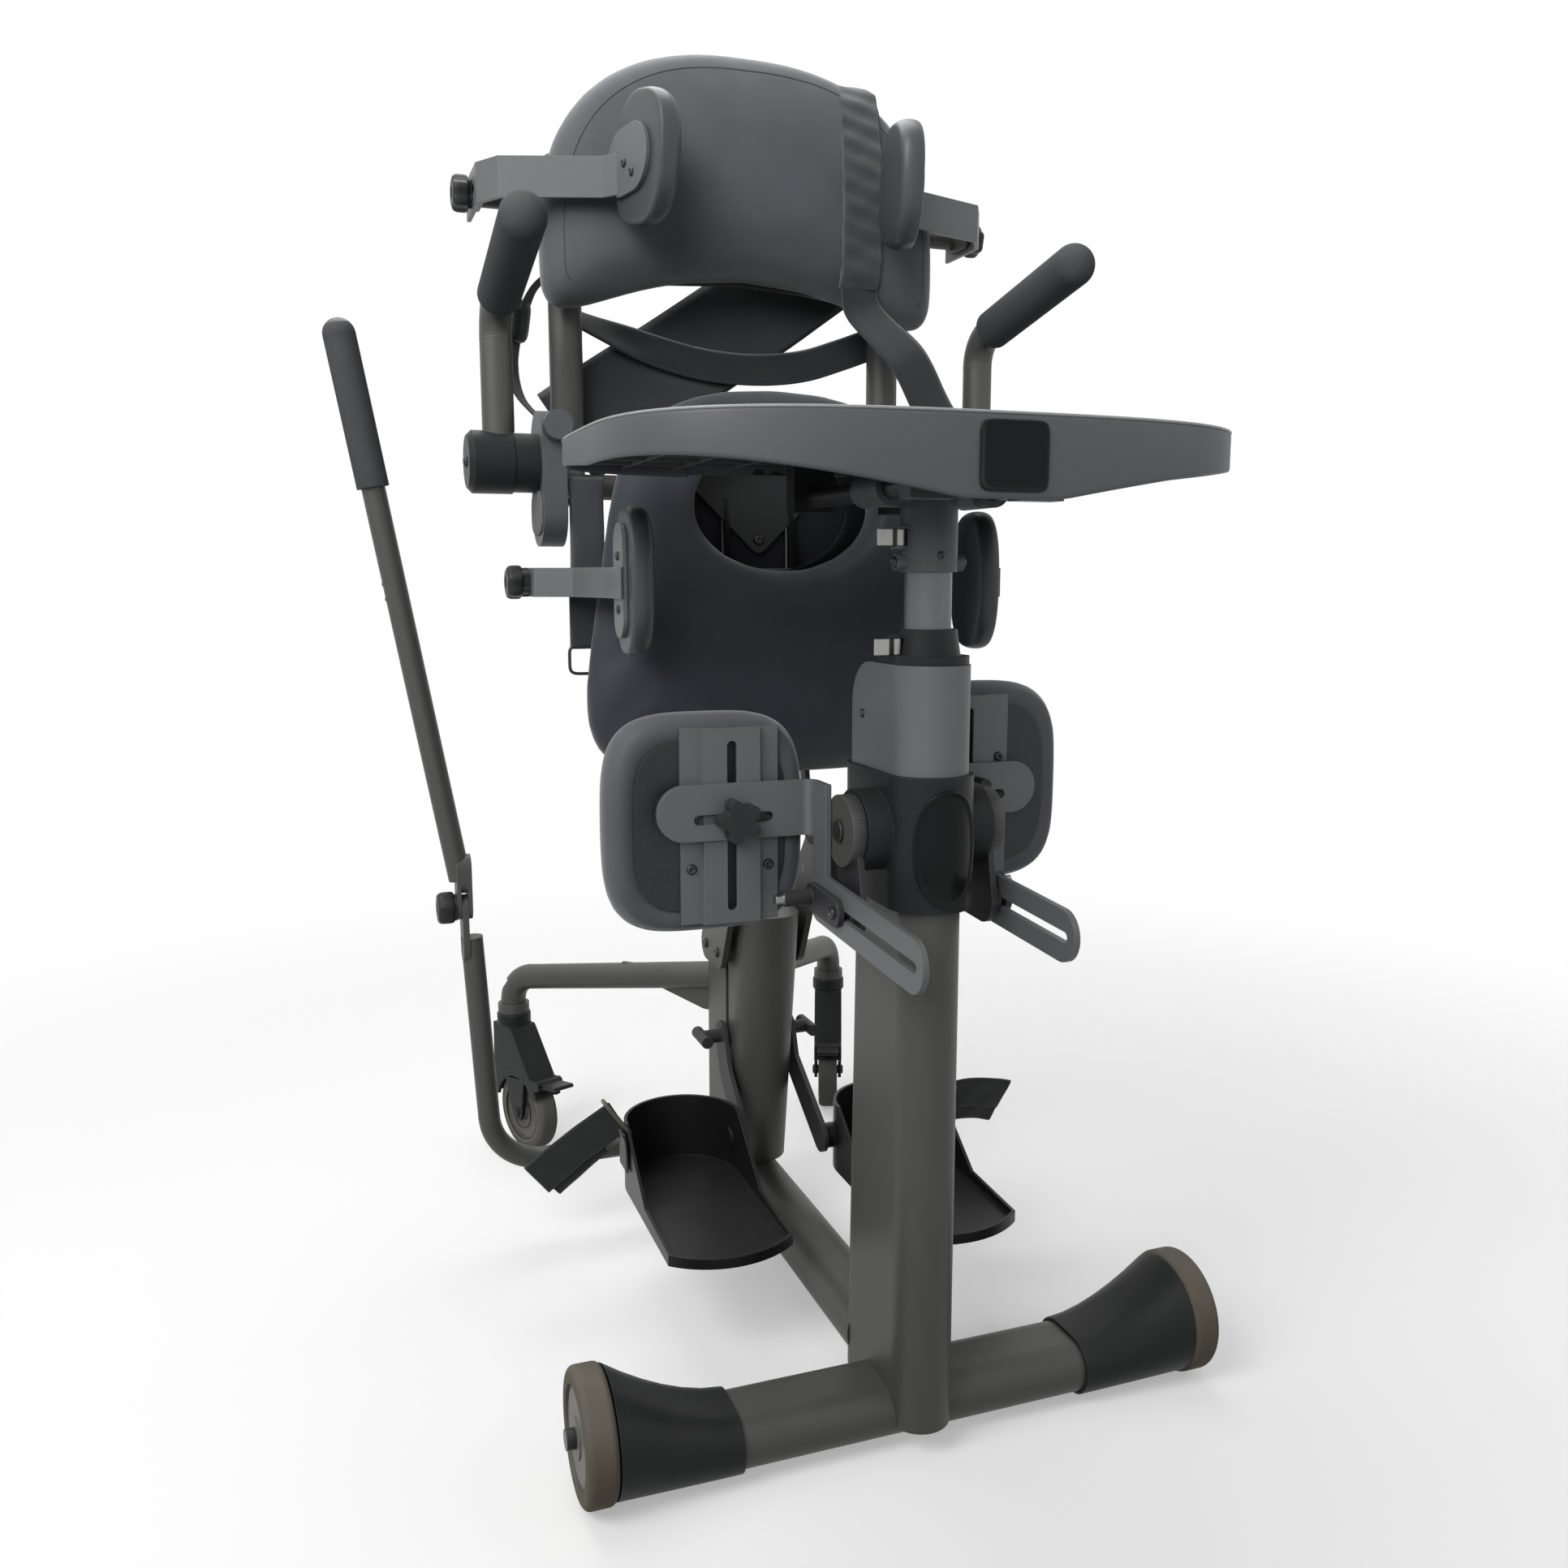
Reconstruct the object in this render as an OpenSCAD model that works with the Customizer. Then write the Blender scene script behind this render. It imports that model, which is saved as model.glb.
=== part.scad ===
// Sit-to-stand standing frame, in millimetres, +Z up.
// The origin is on the floor under the middle of the front axle. The user stands behind the mast and
// faces -Y, so +X is the user's left. Outlines in the side plane are written as [y, z].

/* [Front wheels] */
// Width over the front wheels
track_w = 700; // [660:5:740]
// Front wheel diameter
wheel_d = 131; // [124:1:138]

/* [Front base] */
// Wall of the frame tubes
tube_wall = 3; // [2:0.5:4]

/* [Mast] */
// Width of the front mast
mast_w = 64; // [60:1:68]
// Flat length of the front mast's side
mast_side_len = 90; // [84:1:96]

/* [Tray] */
// Tray width
tray_w = 616; // [580:2:640]
// Tray depth
tray_d = 462; // [430:2:480]
// Height of the tray's top face
tray_z = 1020; // [1012:1:1030]
// Depth of the tray's skirt at the sides
tray_skirt = 24; // [22:1:30]
// Depth of the tray's skirt at the front
tray_nose = 68; // [60:1:72]

/* [Knee supports] */
// Plate thickness of arms and brackets
plate_t = 6; // [5:0.5:8]
// Set of the left bracket along its slot
knee_set_left = 36; // [0:1:60]
// Set of the right bracket along its slot
knee_set_right = 0; // [0:1:60]
// Set of the left pad in along its bar
knee_in_left = 55; // [0:1:56]
// Set of the right pad in along its bar
knee_in_right = 0; // [0:1:56]
// Rise of the left pad on its channel
knee_raise_left = 18; // [-20:1:30]
// Rise of the right pad on its channel
knee_raise_right = 0; // [-20:1:30]
// Knee pad width
knee_pad_w = 208; // [200:1:214]
// Knee pad height
knee_pad_h = 223; // [210:1:236]
// Knee pad thickness
knee_pad_t = 58; // [50:1:66]
// Side place of a knee pad's middle
knee_pad_x = 186; // [182:1:192]
// Height of a knee pad's middle
knee_pad_z = 642; // [636:1:648]

/* [Column] */
// Column width
column_w = 80; // [76:1:84]

/* [Seat] */
// Depth place of the seat pad's back
seat_back_y = 435; // [433:1:438]
// Seat pad width
seat_w = 440; // [424:2:456]
// Seat pad height
seat_h = 450; // [440:2:470]
// Height of the seat pad's lower edge
seat_z = 640; // [638:1:646]
// Seat pad thickness without its crown
seat_t = 58; // [50:1:64]
// Width of the seat pad's opening
seat_hole_w = 214; // [200:1:226]
// Height of the seat pad's opening
seat_hole_h = 160; // [140:1:170]

/* [Back] */
// Height of the back pivot
back_pivot_z = 1021; // [1016:1:1026]
// Back pad width
back_w = 522; // [500:2:536]
// Height of the back pad's widest line
back_z = 1281; // [1276:1:1290]
// Back pad height over its widest line
back_up = 236; // [220:1:244]
// Back pad height under its widest line
back_down = 91; // [84:1:96]
// Rise of the back pad's lower arch
back_arch = 59; // [40:1:70]
// Back pad thickness without its crown
back_t = 72; // [60:1:80]
// Diameter of the back tubes
back_tube_d = 42; // [38:1:44]

/* [Arms] */
// Side place of an arm tube
arm_x = 320; // [316:1:328]
// Height of the arm's bend over its pivot
arm_rise = 176; // [165:1:185]
// Reach of the arm's grip in front of its bend
arm_reach = 254; // [220:1:264]
// Diameter of the foam grips
grip_d = 50; // [46:1:52]

/* [Foot plates] */
// Foot plate width
foot_w = 148; // [138:1:152]
// Foot plate length
foot_len = 300; // [280:1:310]
// Depth place of the heel
heel_y = 448; // [442:1:452]
// Height of the foot plate's tread
foot_z = 133; // [130:1:138]

// Forward set of the left foot plate
foot_fore_left = 38; // [0:1:44]
// Forward set of the right foot plate
foot_fore_right = 0; // [0:1:44]

/* [Rear legs and casters] */
// Caster wheel diameter
caster_d = 123; // [118:1:126]

/* [Pump lever] */
// Height of the handle's top
handle_z = 1184; // [1160:1:1200]
// Length of the handle's foam grip
handle_grip_len = 196; // [180:1:210]

/* [Hidden] */
$fn = 48;
// Fits and gaps
run_gap = 0.05;
seat_gap = 0.3;
piece_gap = 0.2;
blend_gap = 0.02;
overrun = 2;
bead_half = 1;
full_turn = 360;
soft_fn = 36;
// Front base
column_top_y = 432;
column_top_z = 455;
column_foot_y = 488;
column_back_y = 565;
foot_slot_y = 484;
foot_slot_z = 258;
foot_slot_len = 134;
pump_y = 530;
pump_z = 119;
wheel_w = 31;
hub_d = 98;
axle_d = 12;
cross_h = 55;
beam_w = 68;
fairing_len = 126;
cross_depth = 90;
cross_z = 38;
beam_h = 72;
beam_z = 66;
fairing_wall = 3;
wheel_r = wheel_d / 2;
wheel_x = track_w / 2 - wheel_w;
wheel_gap = 1;
axle_r = axle_d / 2;
axle_head_r = 10;
axle_head_t = 9;
tyre_round = 7;
hub_dome = 4;
fairing_x1 = wheel_x - wheel_gap;
fairing_x0 = fairing_x1 - fairing_len;
fairing_end_r = wheel_r - 2.5 * wheel_gap;
fairing_power = 1.7;
fairing_fn = 28;
fairing_rings = 7;
lug_t = 34;
lug_gap = 4;
lug_r = 20;
lug_x = fairing_x1 - lug_gap - lug_t;
cross_r = cross_h / 2;
cross_half_len = (cross_depth - cross_h) / 2;
beam_r = beam_w / 2;
beam_half_len = (beam_h - beam_w) / 2;
beam_top = beam_z + beam_h / 2;
beam_end_y = column_back_y + column_w / 2 - tube_wall;
// Mast
mast_nose_y = -33;
housing_z = 571;
housing_h = 129;
tray_y = 50;
sleeve_h = 104;
post_d = 45;
head_h = 95;
rod_d = 20;
mast_flare = 16;
mast_foot_z = 30;
housing_wall = 10.7;
sleeve_wall = 5.7;
sleeve_side_len = 99;
collar_h = 33;
post_y = -25;
post_hidden = 237;
post_shown = 53;
tray_wall = 4;
rod_gap = 104;
mast_r = mast_w / 2;
mast_back_y = mast_nose_y + mast_side_len;
beam_y = mast_back_y + mast_flare + tube_wall;
housing_top = housing_z + housing_h;
housing_r = mast_r + seat_gap + housing_wall;
sleeve_r = mast_r + seat_gap + sleeve_wall;
sleeve_top = housing_top + sleeve_h;
sleeve_back_y = mast_nose_y + sleeve_side_len;
sleeve_corner = 42;
mast_lap = 10;
mast_top = housing_top - mast_lap;
collar_top = sleeve_top + collar_h;
collar_flange_h = 8;
collar_taper = 5;
post_r = post_d / 2;
post_wall = 3;
post_z0 = collar_top - post_hidden;
head_z = collar_top + post_shown;
head_wall = 4.5;
head_r = post_r + head_wall;
rod_r = rod_d / 2;
rod_x = rod_gap / 2;
rod_z = head_z + head_h - rod_d;
rod_half_len = 150;
rod_fore = 40;
rod_boss_r = rod_r + 7 * seat_gap + tray_wall;
rod_boss_len = 60;
tray_power = 3;
tray_power_back = 4.6;
tray_fn = 64;
nose_x = 150;
belly_r = 320;
belly_depth = 36;
rib_t = 3;
rib_h = 16;
rib_pitch = 56;
bearer_t = 22;
lever_h = 15;
lever_t = 4;
lever_len = 24;
lever_pin_r = 3;
lever_cam_r = 8;
lever_ear = 18;
lever_rise = 17;
// Knee supports, drawn for the left side
knee_pivot_y = -5;
knee_pivot_z = 644;
drum_d = 80;
bar_reach = 214;
drum_x = 66;
cap_d = 70;
bar_drop = 75;
bar_w = 50;
bar_tilt = 3;
slot_w = 10;
knee_pivot = [knee_pivot_y, knee_pivot_z];
knee_pin_r = 8;
knee_pin_head_r = 11;
arm_x0 = drum_x + seat_gap;
cap_x0 = arm_x0 + plate_t;
cap_t = 8;
bar_x0 = cap_x0 + cap_t + seat_gap + wheel_gap / 2;
clamp_half = 29.5;
clamp_r = 22;
clamp_y = 13.5;
stud_r = slot_w / 2 - piece_gap - seat_gap;
clamp_plate_r = 14;
plunger_r = 8;
plunger_len = 36;
plunger_tip_r = 5;
plunger_tip_len = 8;
bar_dir = [cos(bar_tilt), sin(bar_tilt)];
bar_mid = knee_pivot + [clamp_y, -bar_drop];
bar_back = 24;
bend_in = 8;
knee_bar_h = 56;
knee_bar_rise = 16;
knee_bar_z = knee_pad_z + knee_bar_rise;
knee_bar_over = 50;
knee_bar_y = 55.5;
riser_w = 33;
channel_off = 19;
channel_x = knee_pad_x - channel_off;
channel_w = 101;
channel_web_w = 59;
channel_h = 196;
channel_depth = 12;
channel_t = 4;
channel_y = knee_bar_y + plate_t + seat_gap;
stud_rise = 9;
stud_z = knee_pad_z + stud_rise;
slot_end = 18;
knob_r = 15;
knob_lobe_r = 7;
knob_t = 20;
knob_boss_r = 9;
knob_lobes = 5;
nut_t = 4;
board_t = 6;
board_inset = 26;
board_y = channel_y + channel_depth;
knee_pad_y = board_y + board_t + seat_gap;
pad_edge = 20;
knee_crown = 8;
knee_power = 3.8;
// Column
column_r = column_w / 2;
column_foot_z = beam_top + seat_gap;
foot_slot_w = 12;
yoke_t = 8;
yoke_x = 50;
yoke_r = 22;
yoke_drop = 60;
yoke_front = 38;
yoke_back = 88;
yoke_low_z = column_top_z - yoke_drop;
yoke_front_y = column_top_y + yoke_front;
yoke_back_y = column_top_y + yoke_back;
yoke_boss_r = 14;
pump_block_h = 44;
// Seat and back linkage
seat_pivot_y = 385;
seat_pivot_z = 570;
back_pivot_y = 490;
seat_pivot = [seat_pivot_y, seat_pivot_z];
back_pivot = [back_pivot_y, back_pivot_z];
seat_pin_r = 10;
hanger_x = 40;
hanger_r = 20;
pan_t = 6;
pan_y = seat_back_y + seat_gap;
pan_inset = 24;
pan_back_y = pan_y + pan_t;
hanger_low_back = 29;
hanger_low_drop = 15;
hanger_low = [pan_back_y + hanger_low_back, seat_z - hanger_low_drop];
hanger_mid_back = 22;
hanger_mid_rise = 160;
hanger_mid = [pan_back_y + hanger_mid_back, seat_z + hanger_mid_rise];
lift_arm = [98, 90];
lift_point = seat_pivot + lift_arm;
lift_lug_x = 14;
lift_lug_t = 6;
lift_lug_r = 16;
lift_eye_r = 15;
lift_eye_w = 20;
lift_pin_r = 8;
cylinder_r = 20;
cylinder_bore_r = 17;
cylinder_foot_z = column_foot_z + pump_block_h + seat_gap;
cylinder_sink = 25;
cylinder_top_z = column_top_z - cylinder_sink;
cylinder_cap_t = 12;
lift_rod_r = 9;
piston_t = 20;
piston_sink = 70;
piston_z = cylinder_top_z - piston_sink;
link_offset = [50, -62];
link_foot = seat_pivot + link_offset;
link_head = back_pivot + link_offset;
link_gap = 2;
link_x = yoke_x + yoke_t + link_gap;
link_t = 6;
link_r = 10;
link_pin_r = 6;
link_spacer_r = 9;
bracket_r = 16;
bracket_x = 50;
cross_bar_drop = 21;
cross_bar_z = back_pivot_z - cross_bar_drop;
cross_bar_r = 16;
seat_mid_z = seat_z + seat_h / 2;
seat_power = 5;
seat_taper_share = 0.155;
seat_crown = 9;
seat_hole_rise = 106;
seat_hole_z = seat_mid_z + seat_hole_rise;
spider_w = 190;
spider_h = 92;
spider_t = 6;
spider_r = 10;
spider_back = 24;
spider_y = pan_back_y + spider_back;
rail_z = 879;
rail_h = 34;
rail_t = 8;
rail_back = 4;
rail_over = 63;
rail_y = pan_back_y + rail_back;
rail_x = seat_w / 2 + rail_over;
hip_knob_y = 458;
hip_clear = 2;
hip_pad_x = seat_w / 2 + hip_clear;
hip_pad_y = 277;
hip_pad_rise = 2;
hip_pad_z = rail_z + hip_pad_rise;
hip_pad_h = 163;
hip_pad_d = 86;
hip_pad_t = 26;
strap_t = 5;
strap_h = 34;
guide_knob_r = 18;
guide_knob_t = 18;
guide_stud_r = 4.5;
guide_foot_t = 6;
hip_tongue = 42;
hip_power = 2.6;
hip_crown = 6;
back_pin_r = 8;
// Back
back_tube_gap = 438;
back_tube_y = 579;
back_pad_off = 6;
back_pad_y = back_tube_y - back_tube_d / 2 - back_pad_off;
back_board_t = 7;
back_crown = 10;
back_power_up = 2.5;
back_power_down = 5;
back_tube_r = back_tube_d / 2;
back_tube_x = back_tube_gap / 2;
back_tube_over = 120;
back_tube_under = 24;
back_tube_top = back_z + back_tube_over;
back_tube_low = cross_bar_z - back_tube_under;
dial_x0 = 246;
dial_x1 = 275;
dial_r = 40;
dial_up = 22;
dial_down = 59;
dial_ring_r = 35;
hub_x0 = 306;
hub_x1 = 359;
hub_pin_r = 12;
hub_pin_len = 40;
hub_edge = 6;
dial_knob_r = 17;
dial_knob_rise = 40;
dial_knob_z = back_pivot_z + dial_knob_rise;
dial_knob_t = 20;
lateral_x = 172;
lateral_z = 1354;
lateral_y = 386;
lateral_d = 126;
lateral_h = 146;
lateral_t = 28;
lateral_mount_x = 322;
lateral_mount_y = 563;
lateral_mount_z = 1345;
lateral_tongue = 44;
lateral_bar_r = 12;
lateral_tilt = 12;
lateral_toe = 11;
lateral_strap_h = 46;
lateral_power = 2.6;
// Arms
arm_d = 38;
grip_rise = 56;
hub_cap_d = 74;
arm_r = arm_d / 2;
grip_r = grip_d / 2;
arm_bend = 42;
arm_clear = 1;
arm_toe_in = -3;
// Foot plates
foot_wall = 4;
foot_x = 60;
heel_h = 82;
foot_half = foot_w / 2;
foot_mid_x = foot_x + foot_half;
toe_r = 110;
foot_hinge_fore = 48;
foot_hinge_rise = 34;
foot_hinge = [heel_y - foot_hinge_fore, foot_z + foot_hinge_rise];
foot_hinge_r = 20;
foot_pin_r = 8;
foot_arm_gap = 5;
foot_arm_x = column_r + foot_arm_gap;
foot_stud_rise = 17;
foot_stud_z = foot_slot_z + foot_stud_rise;
foot_elbow_fore = 16;
foot_elbow_drop = 42;
foot_elbow = [foot_slot_y - foot_elbow_fore, foot_stud_z - foot_elbow_drop];
foot_knob_len = 24;
foot_knob_r = 9;
foot_boss_r = 16;
foot_lip_share = 0.86;
foot_strap_w = 50;
foot_strap_t = 4;
foot_ring_r = 3;
// Legs and casters
leg_d = 38;
stem_x = 266;
stem_y = 880;
caster_w = 30;
leg_z = 333;
leg_fall = 66;
leg_end_z = 212;
trail = 38;
caster_yaw = 22;
leg_r = leg_d / 2;
leg_bend = 44;
leg_start_x = 9;
leg_cup_r = 24;
leg_cup_h = 14;
gusset_t = 5;
gusset_len = 150;
gusset_h = 38;
stem_r = 8;
stem_len = 46;
caster_r = caster_d / 2;
caster_gap = 3;
cheek_t = 7;
hood_over = 8;
hood_r = caster_r + hood_over;
hood_half = caster_w / 2 + caster_gap / 2 + cheek_t;
hood_drop = 14;
hood_low_z = caster_r - hood_drop;
caster_axle_r = 5;
caster_tyre_t = 13;
head_disc_r = 26;
head_disc_h = 18;
pedal_t = 6;
pedal_len = 42;
pedal_w = 34;
pedal_y = -94;
pedal_z = 118;
pedal_pin_r = 4;
pedal_ear_t = 5;
// Pump lever
pump_d = 28;
pump_x = 350;
fold_z = 470;
fold_x = 376;
handle_x = 498;
pump_r = pump_d / 2;
pump_bend = 70;
pump_in = 10;
fold_drop = 40;
pump_top_z = fold_z - fold_drop;
tongue_t = 8;
tongue_r = 16;
fork_t = 5;
fold_pin_r = 5;
fold_knob_r = 17;
fold_knob_t = 22;
fold_rise = 36;
handle_foam_t = 5;
handle_foot_z = fold_z + fold_rise;
handle_grip_r = pump_r + handle_foam_t;
// Straps
chest_w = 55;
chest_t = 6;
chest_x = 112;
belt_w = 104;
belt_t = 4;
webbing_w = 30;
tail_w = 40;
webbing_t = 3;
webbing_sag = 34;
hip_strap_w = 40;
hip_ring_r = 2.5;

// Shared shapes

// A bar with round ends between two points of a plane, its straight sides just inside the rounds
module bar2d(p, q, r) {
    span = q - p;
    side = r - blend_gap;
    translate(p) {
        circle(r);
        rotate(atan2(span[1], span[0])) translate([0, -side]) square([norm(span), 2 * side]);
    }
    translate(q) circle(r);
}

// A row of such bars, end to end
module chain2d(points, r) {
    for (i = [0 : len(points) - 2]) bar2d(points[i], points[i + 1], r);
}

// A plate with round corners over three or more points
module web2d(points, r) {
    chain2d(concat(points, [points[0]]), r);
    polygon(points);
}

// A flat oval with its round ends at y0 and y1
module oval2d(r, y0, y1) {
    bar2d([0, y0], [0, y1], r);
}

// A plate whose outline is given as [y, z], from x outwards
module side_plate(x, t) {
    translate([x, 0, 0]) rotate([90, 0, 90]) linear_extrude(t) children();
}

// A plate whose outline is given as [x, z], from y backwards
module front_plate(y, t) {
    translate([0, y + t, 0]) rotate([90, 0, 0]) linear_extrude(t) children();
}

// A round pin across the frame at a point [y, z]
module pin_x(p, x0, x1, r) {
    translate([x0, p[0], p[1]]) rotate([0, 90, 0]) cylinder(r = r, h = x1 - x0);
}

// A round pin along the depth
module pin_y(x, z, y0, y1, r) {
    translate([x, y0, z]) rotate([-90, 0, 0]) cylinder(r = r, h = y1 - y0);
}

// A straight round bar between two points
module rod(p, q, r) {
    span = q - p;
    translate(p) rotate([0, acos(span[2] / norm(span)), atan2(span[1], span[0])])
        cylinder(r = r, h = norm(span));
}

// A foam grip with a round end, bored for the tube that ends at q
module grip(p, q, r, bore_r) {
    span = q - p;
    len = norm(span);
    translate(p) rotate([0, acos(span[2] / len), atan2(span[1], span[0])]) rotate_extrude() difference() {
        union() {
            square([r, len]);
            intersection() {
                translate([0, len]) circle(r);
                translate([0, len]) square(r);
            }
        }
        translate([0, -overrun]) square([bore_r, len + overrun + piece_gap]);
    }
}

function heading(p, q) = (q - p) / norm(q - p);

function bend_angle(p, i) = acos(heading(p[i - 1], p[i]) * heading(p[i], p[i + 1]));

function setback(p, i, bend) =
    (i == 0 || i == len(p) - 1) ? 0 : bend * tan(bend_angle(p, i) / 2);

// The bent stretch of a tube at point b, between the points a and c
module elbow(a, b, c, bend, r) {
    u = heading(a, b);
    v = heading(b, c);
    turn = acos(u * v);
    axis = cross(u, v) / norm(cross(u, v));
    out = -cross(axis, u);
    centre = b - u * bend * tan(turn / 2) - out * bend;
    multmatrix([for (k = [0 : 2]) [out[k], u[k], axis[k], centre[k]]])
        rotate_extrude(angle = turn) translate([bend, 0]) circle(r);
}

// A low ring that covers a seam of a bent tube
module bead(at, way, r) {
    rod(at - bead_half * way, at + bead_half * way, r + piece_gap);
}

// A bent tube through a row of points
module pipe(p, bend, r) {
    for (i = [0 : len(p) - 2]) {
        u = heading(p[i], p[i + 1]);
        rod(p[i] + u * setback(p, i, bend), p[i + 1] - u * setback(p, i + 1, bend), r);
    }
    for (i = [1 : len(p) - 2]) {
        from = p[i] - heading(p[i - 1], p[i]) * setback(p, i, bend);
        to = p[i] + heading(p[i], p[i + 1]) * setback(p, i, bend);
        elbow(p[i - 1], p[i], p[i + 1], bend, r);
        bead(from, heading(p[i - 1], p[i]), r);
        bead(to, heading(p[i], p[i + 1]), r);
    }
}

// A closed solid over a row of rings, each counter-clockwise about the way that they are stacked
module skin(rings) {
    n = len(rings[0]);
    m = len(rings);
    sides = [for (k = [0 : m - 2]) for (i = [0 : n - 1])
        let (a = k * n + i, b = k * n + (i + 1) % n)
        each [[a, b + n, b], [a, a + n, b + n]]];
    polyhedron([for (ring = rings) each ring],
        concat(sides, [[for (i = [0 : n - 1]) i]], [[for (i = [n - 1 : -1 : 0]) (m - 1) * n + i]]));
}

// A shell over a closed row of rings: out along the outer face and back along the inner one
module shell(rings) {
    n = len(rings[0]);
    m = len(rings);
    polyhedron([for (ring = rings) each ring],
        [for (k = [0 : m - 1]) for (i = [0 : n - 1])
            let (a = k * n + i, b = k * n + (i + 1) % n, up = ((k + 1) % m) * n - k * n)
            each [[a, b + up, b], [a, a + up, b + up]]]);
}

function round_power(v, power) = sign(v) * pow(abs(v), 2 / power);

// A rounded outline, narrower towards its top by the taper share
function pad_point(a, half_w, half_h, power, taper_share, inset) =
    let (y = (half_h - inset) * round_power(sin(a), power))
    [(half_w - inset) * (1 - taper_share * y / half_h) * round_power(cos(a), power), y];

// Rings of a cushion: inset as a share of the edge, height as a share of the thickness
cushion_edge_shares = [[0.55, 0], [0.12, 0.18], [0, 0.45], [0.14, 0.72], [0.6, 0.93], [1.4, 1]];

// A crowned cushion over an outline, with its back on the plane and its face up
module cushion(outline, t, crown, edge, crown_inset) {
    angles = [for (i = [0 : soft_fn - 1]) full_turn * i / soft_fn];
    skin(concat(
        [for (s = cushion_edge_shares)
            [for (a = angles) let (p = outline(a, s[0] * edge)) [p[0], p[1], s[1] * t]]],
        [[for (a = angles) let (p = outline(a, crown_inset)) [p[0], p[1], t + crown]]]));
}

// Draws a left-hand piece as it is, or mirrored for the right
module sided(s) {
    if (s > 0) children();
    else mirror([1, 0, 0]) children();
}

module both_sides() {
    children();
    mirror([1, 0, 0]) children();
}

// Outer faces that more than one piece follows

module mast_body(r, z0) {
    foot_back = mast_back_y + mast_flare;
    top_back = mast_back_y;
    tilt_top = housing_z + mast_lap;
    lean = mast_flare / (tilt_top - mast_foot_z);
    translate([0, mast_nose_y, z0]) cylinder(r = r, h = mast_top - z0);
    rod([0, foot_back, z0], [0, top_back - lean * mast_lap, tilt_top + mast_lap], r);
    side_plate(blend_gap - r, 2 * (r - blend_gap))
        polygon([[mast_nose_y, z0], [foot_back, z0], [top_back, tilt_top], [mast_nose_y, tilt_top]]);
    translate([0, 0, housing_z]) linear_extrude(mast_top - housing_z)
        oval2d(r - piece_gap, mast_nose_y, mast_back_y);
}

module column_body(r, z0, z1) {
    lean = (column_top_y - column_foot_y) / (column_top_z - column_foot_z);
    low_y = column_foot_y + lean * (z0 - column_foot_z);
    high_y = column_foot_y + lean * (z1 - column_foot_z);
    intersection() {
        union() {
            rod([0, low_y - lean * overrun * r, z0 - overrun * r],
                [0, high_y + lean * overrun * r, z1 + overrun * r], r);
            side_plate(-r, 2 * r)
                polygon([[low_y, z0], [column_back_y, z0], [column_back_y, z1], [high_y, z1]]);
            translate([0, column_back_y, z0]) cylinder(r = r, h = z1 - z0);
        }
        translate([-2 * column_w, 0, z0]) cube([4 * column_w, 2 * column_back_y, z1 - z0]);
    }
}

// Front base

module front_cross_tube() {
    color("dimgray") difference() {
        union() {
            side_plate(-lug_x, 2 * lug_x)
                bar2d([-cross_half_len, cross_z], [cross_half_len, cross_z], cross_r);
            both_sides() side_plate(lug_x - tube_wall, lug_t + tube_wall)
                bar2d([0, cross_z], [0, wheel_r], lug_r);
        }
        side_plate(tube_wall - lug_x, 2 * lug_x - 2 * tube_wall)
            bar2d([-cross_half_len, cross_z], [cross_half_len, cross_z], cross_r - tube_wall);
        mast_body(mast_r, mast_foot_z);
        both_sides() pin_x([0, wheel_r], lug_x + tube_wall, lug_x + 2 * lug_t, axle_r + run_gap);
    }
}

module base_beam() {
    color("dimgray") difference() {
        translate([0, beam_y, 0]) rotate([-90, 0, 0]) linear_extrude(beam_end_y - beam_y)
            oval2d(beam_r, -beam_z - beam_half_len, -beam_z + beam_half_len);
        translate([0, beam_y - overrun, 0]) rotate([-90, 0, 0])
            linear_extrude(beam_end_y - beam_y + overrun - tube_wall)
            oval2d(beam_r - tube_wall, -beam_z - beam_half_len, -beam_z + beam_half_len);
        mast_body(mast_r, mast_foot_z);
    }
}

module front_mast() {
    color("dimgray") difference() {
        mast_body(mast_r, mast_foot_z);
        translate([0, 0, tube_wall]) mast_body(mast_r - tube_wall, mast_foot_z);
    }
}

function fairing_ring(t, wall) =
    let (b = pow(t, fairing_power),
        sleeve_gap_r = cross_r + 3 * seat_gap,
        r = (sleeve_gap_r + fairing_wall - wall) * (1 - b) + (fairing_end_r - wall) * b,
        mid_z = cross_z * (1 - b) + wheel_r * b,
        flat = cross_half_len * (1 - b))
    [for (i = [0 : fairing_fn - 1])
        let (a = full_turn * (i + 0.5) / fairing_fn)
        [fairing_x0 + fairing_len * t, sign(cos(a)) * flat + r * cos(a), mid_z + r * sin(a)]];

module wheel_fairings() {
    steps = [for (k = [0 : fairing_rings - 1]) k / (fairing_rings - 1)];
    color("black") both_sides() shell(concat(
        [for (t = steps) fairing_ring(t, 0)],
        [for (k = [fairing_rings - 1 : -1 : 0]) fairing_ring(steps[k], fairing_wall)]));
}

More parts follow.
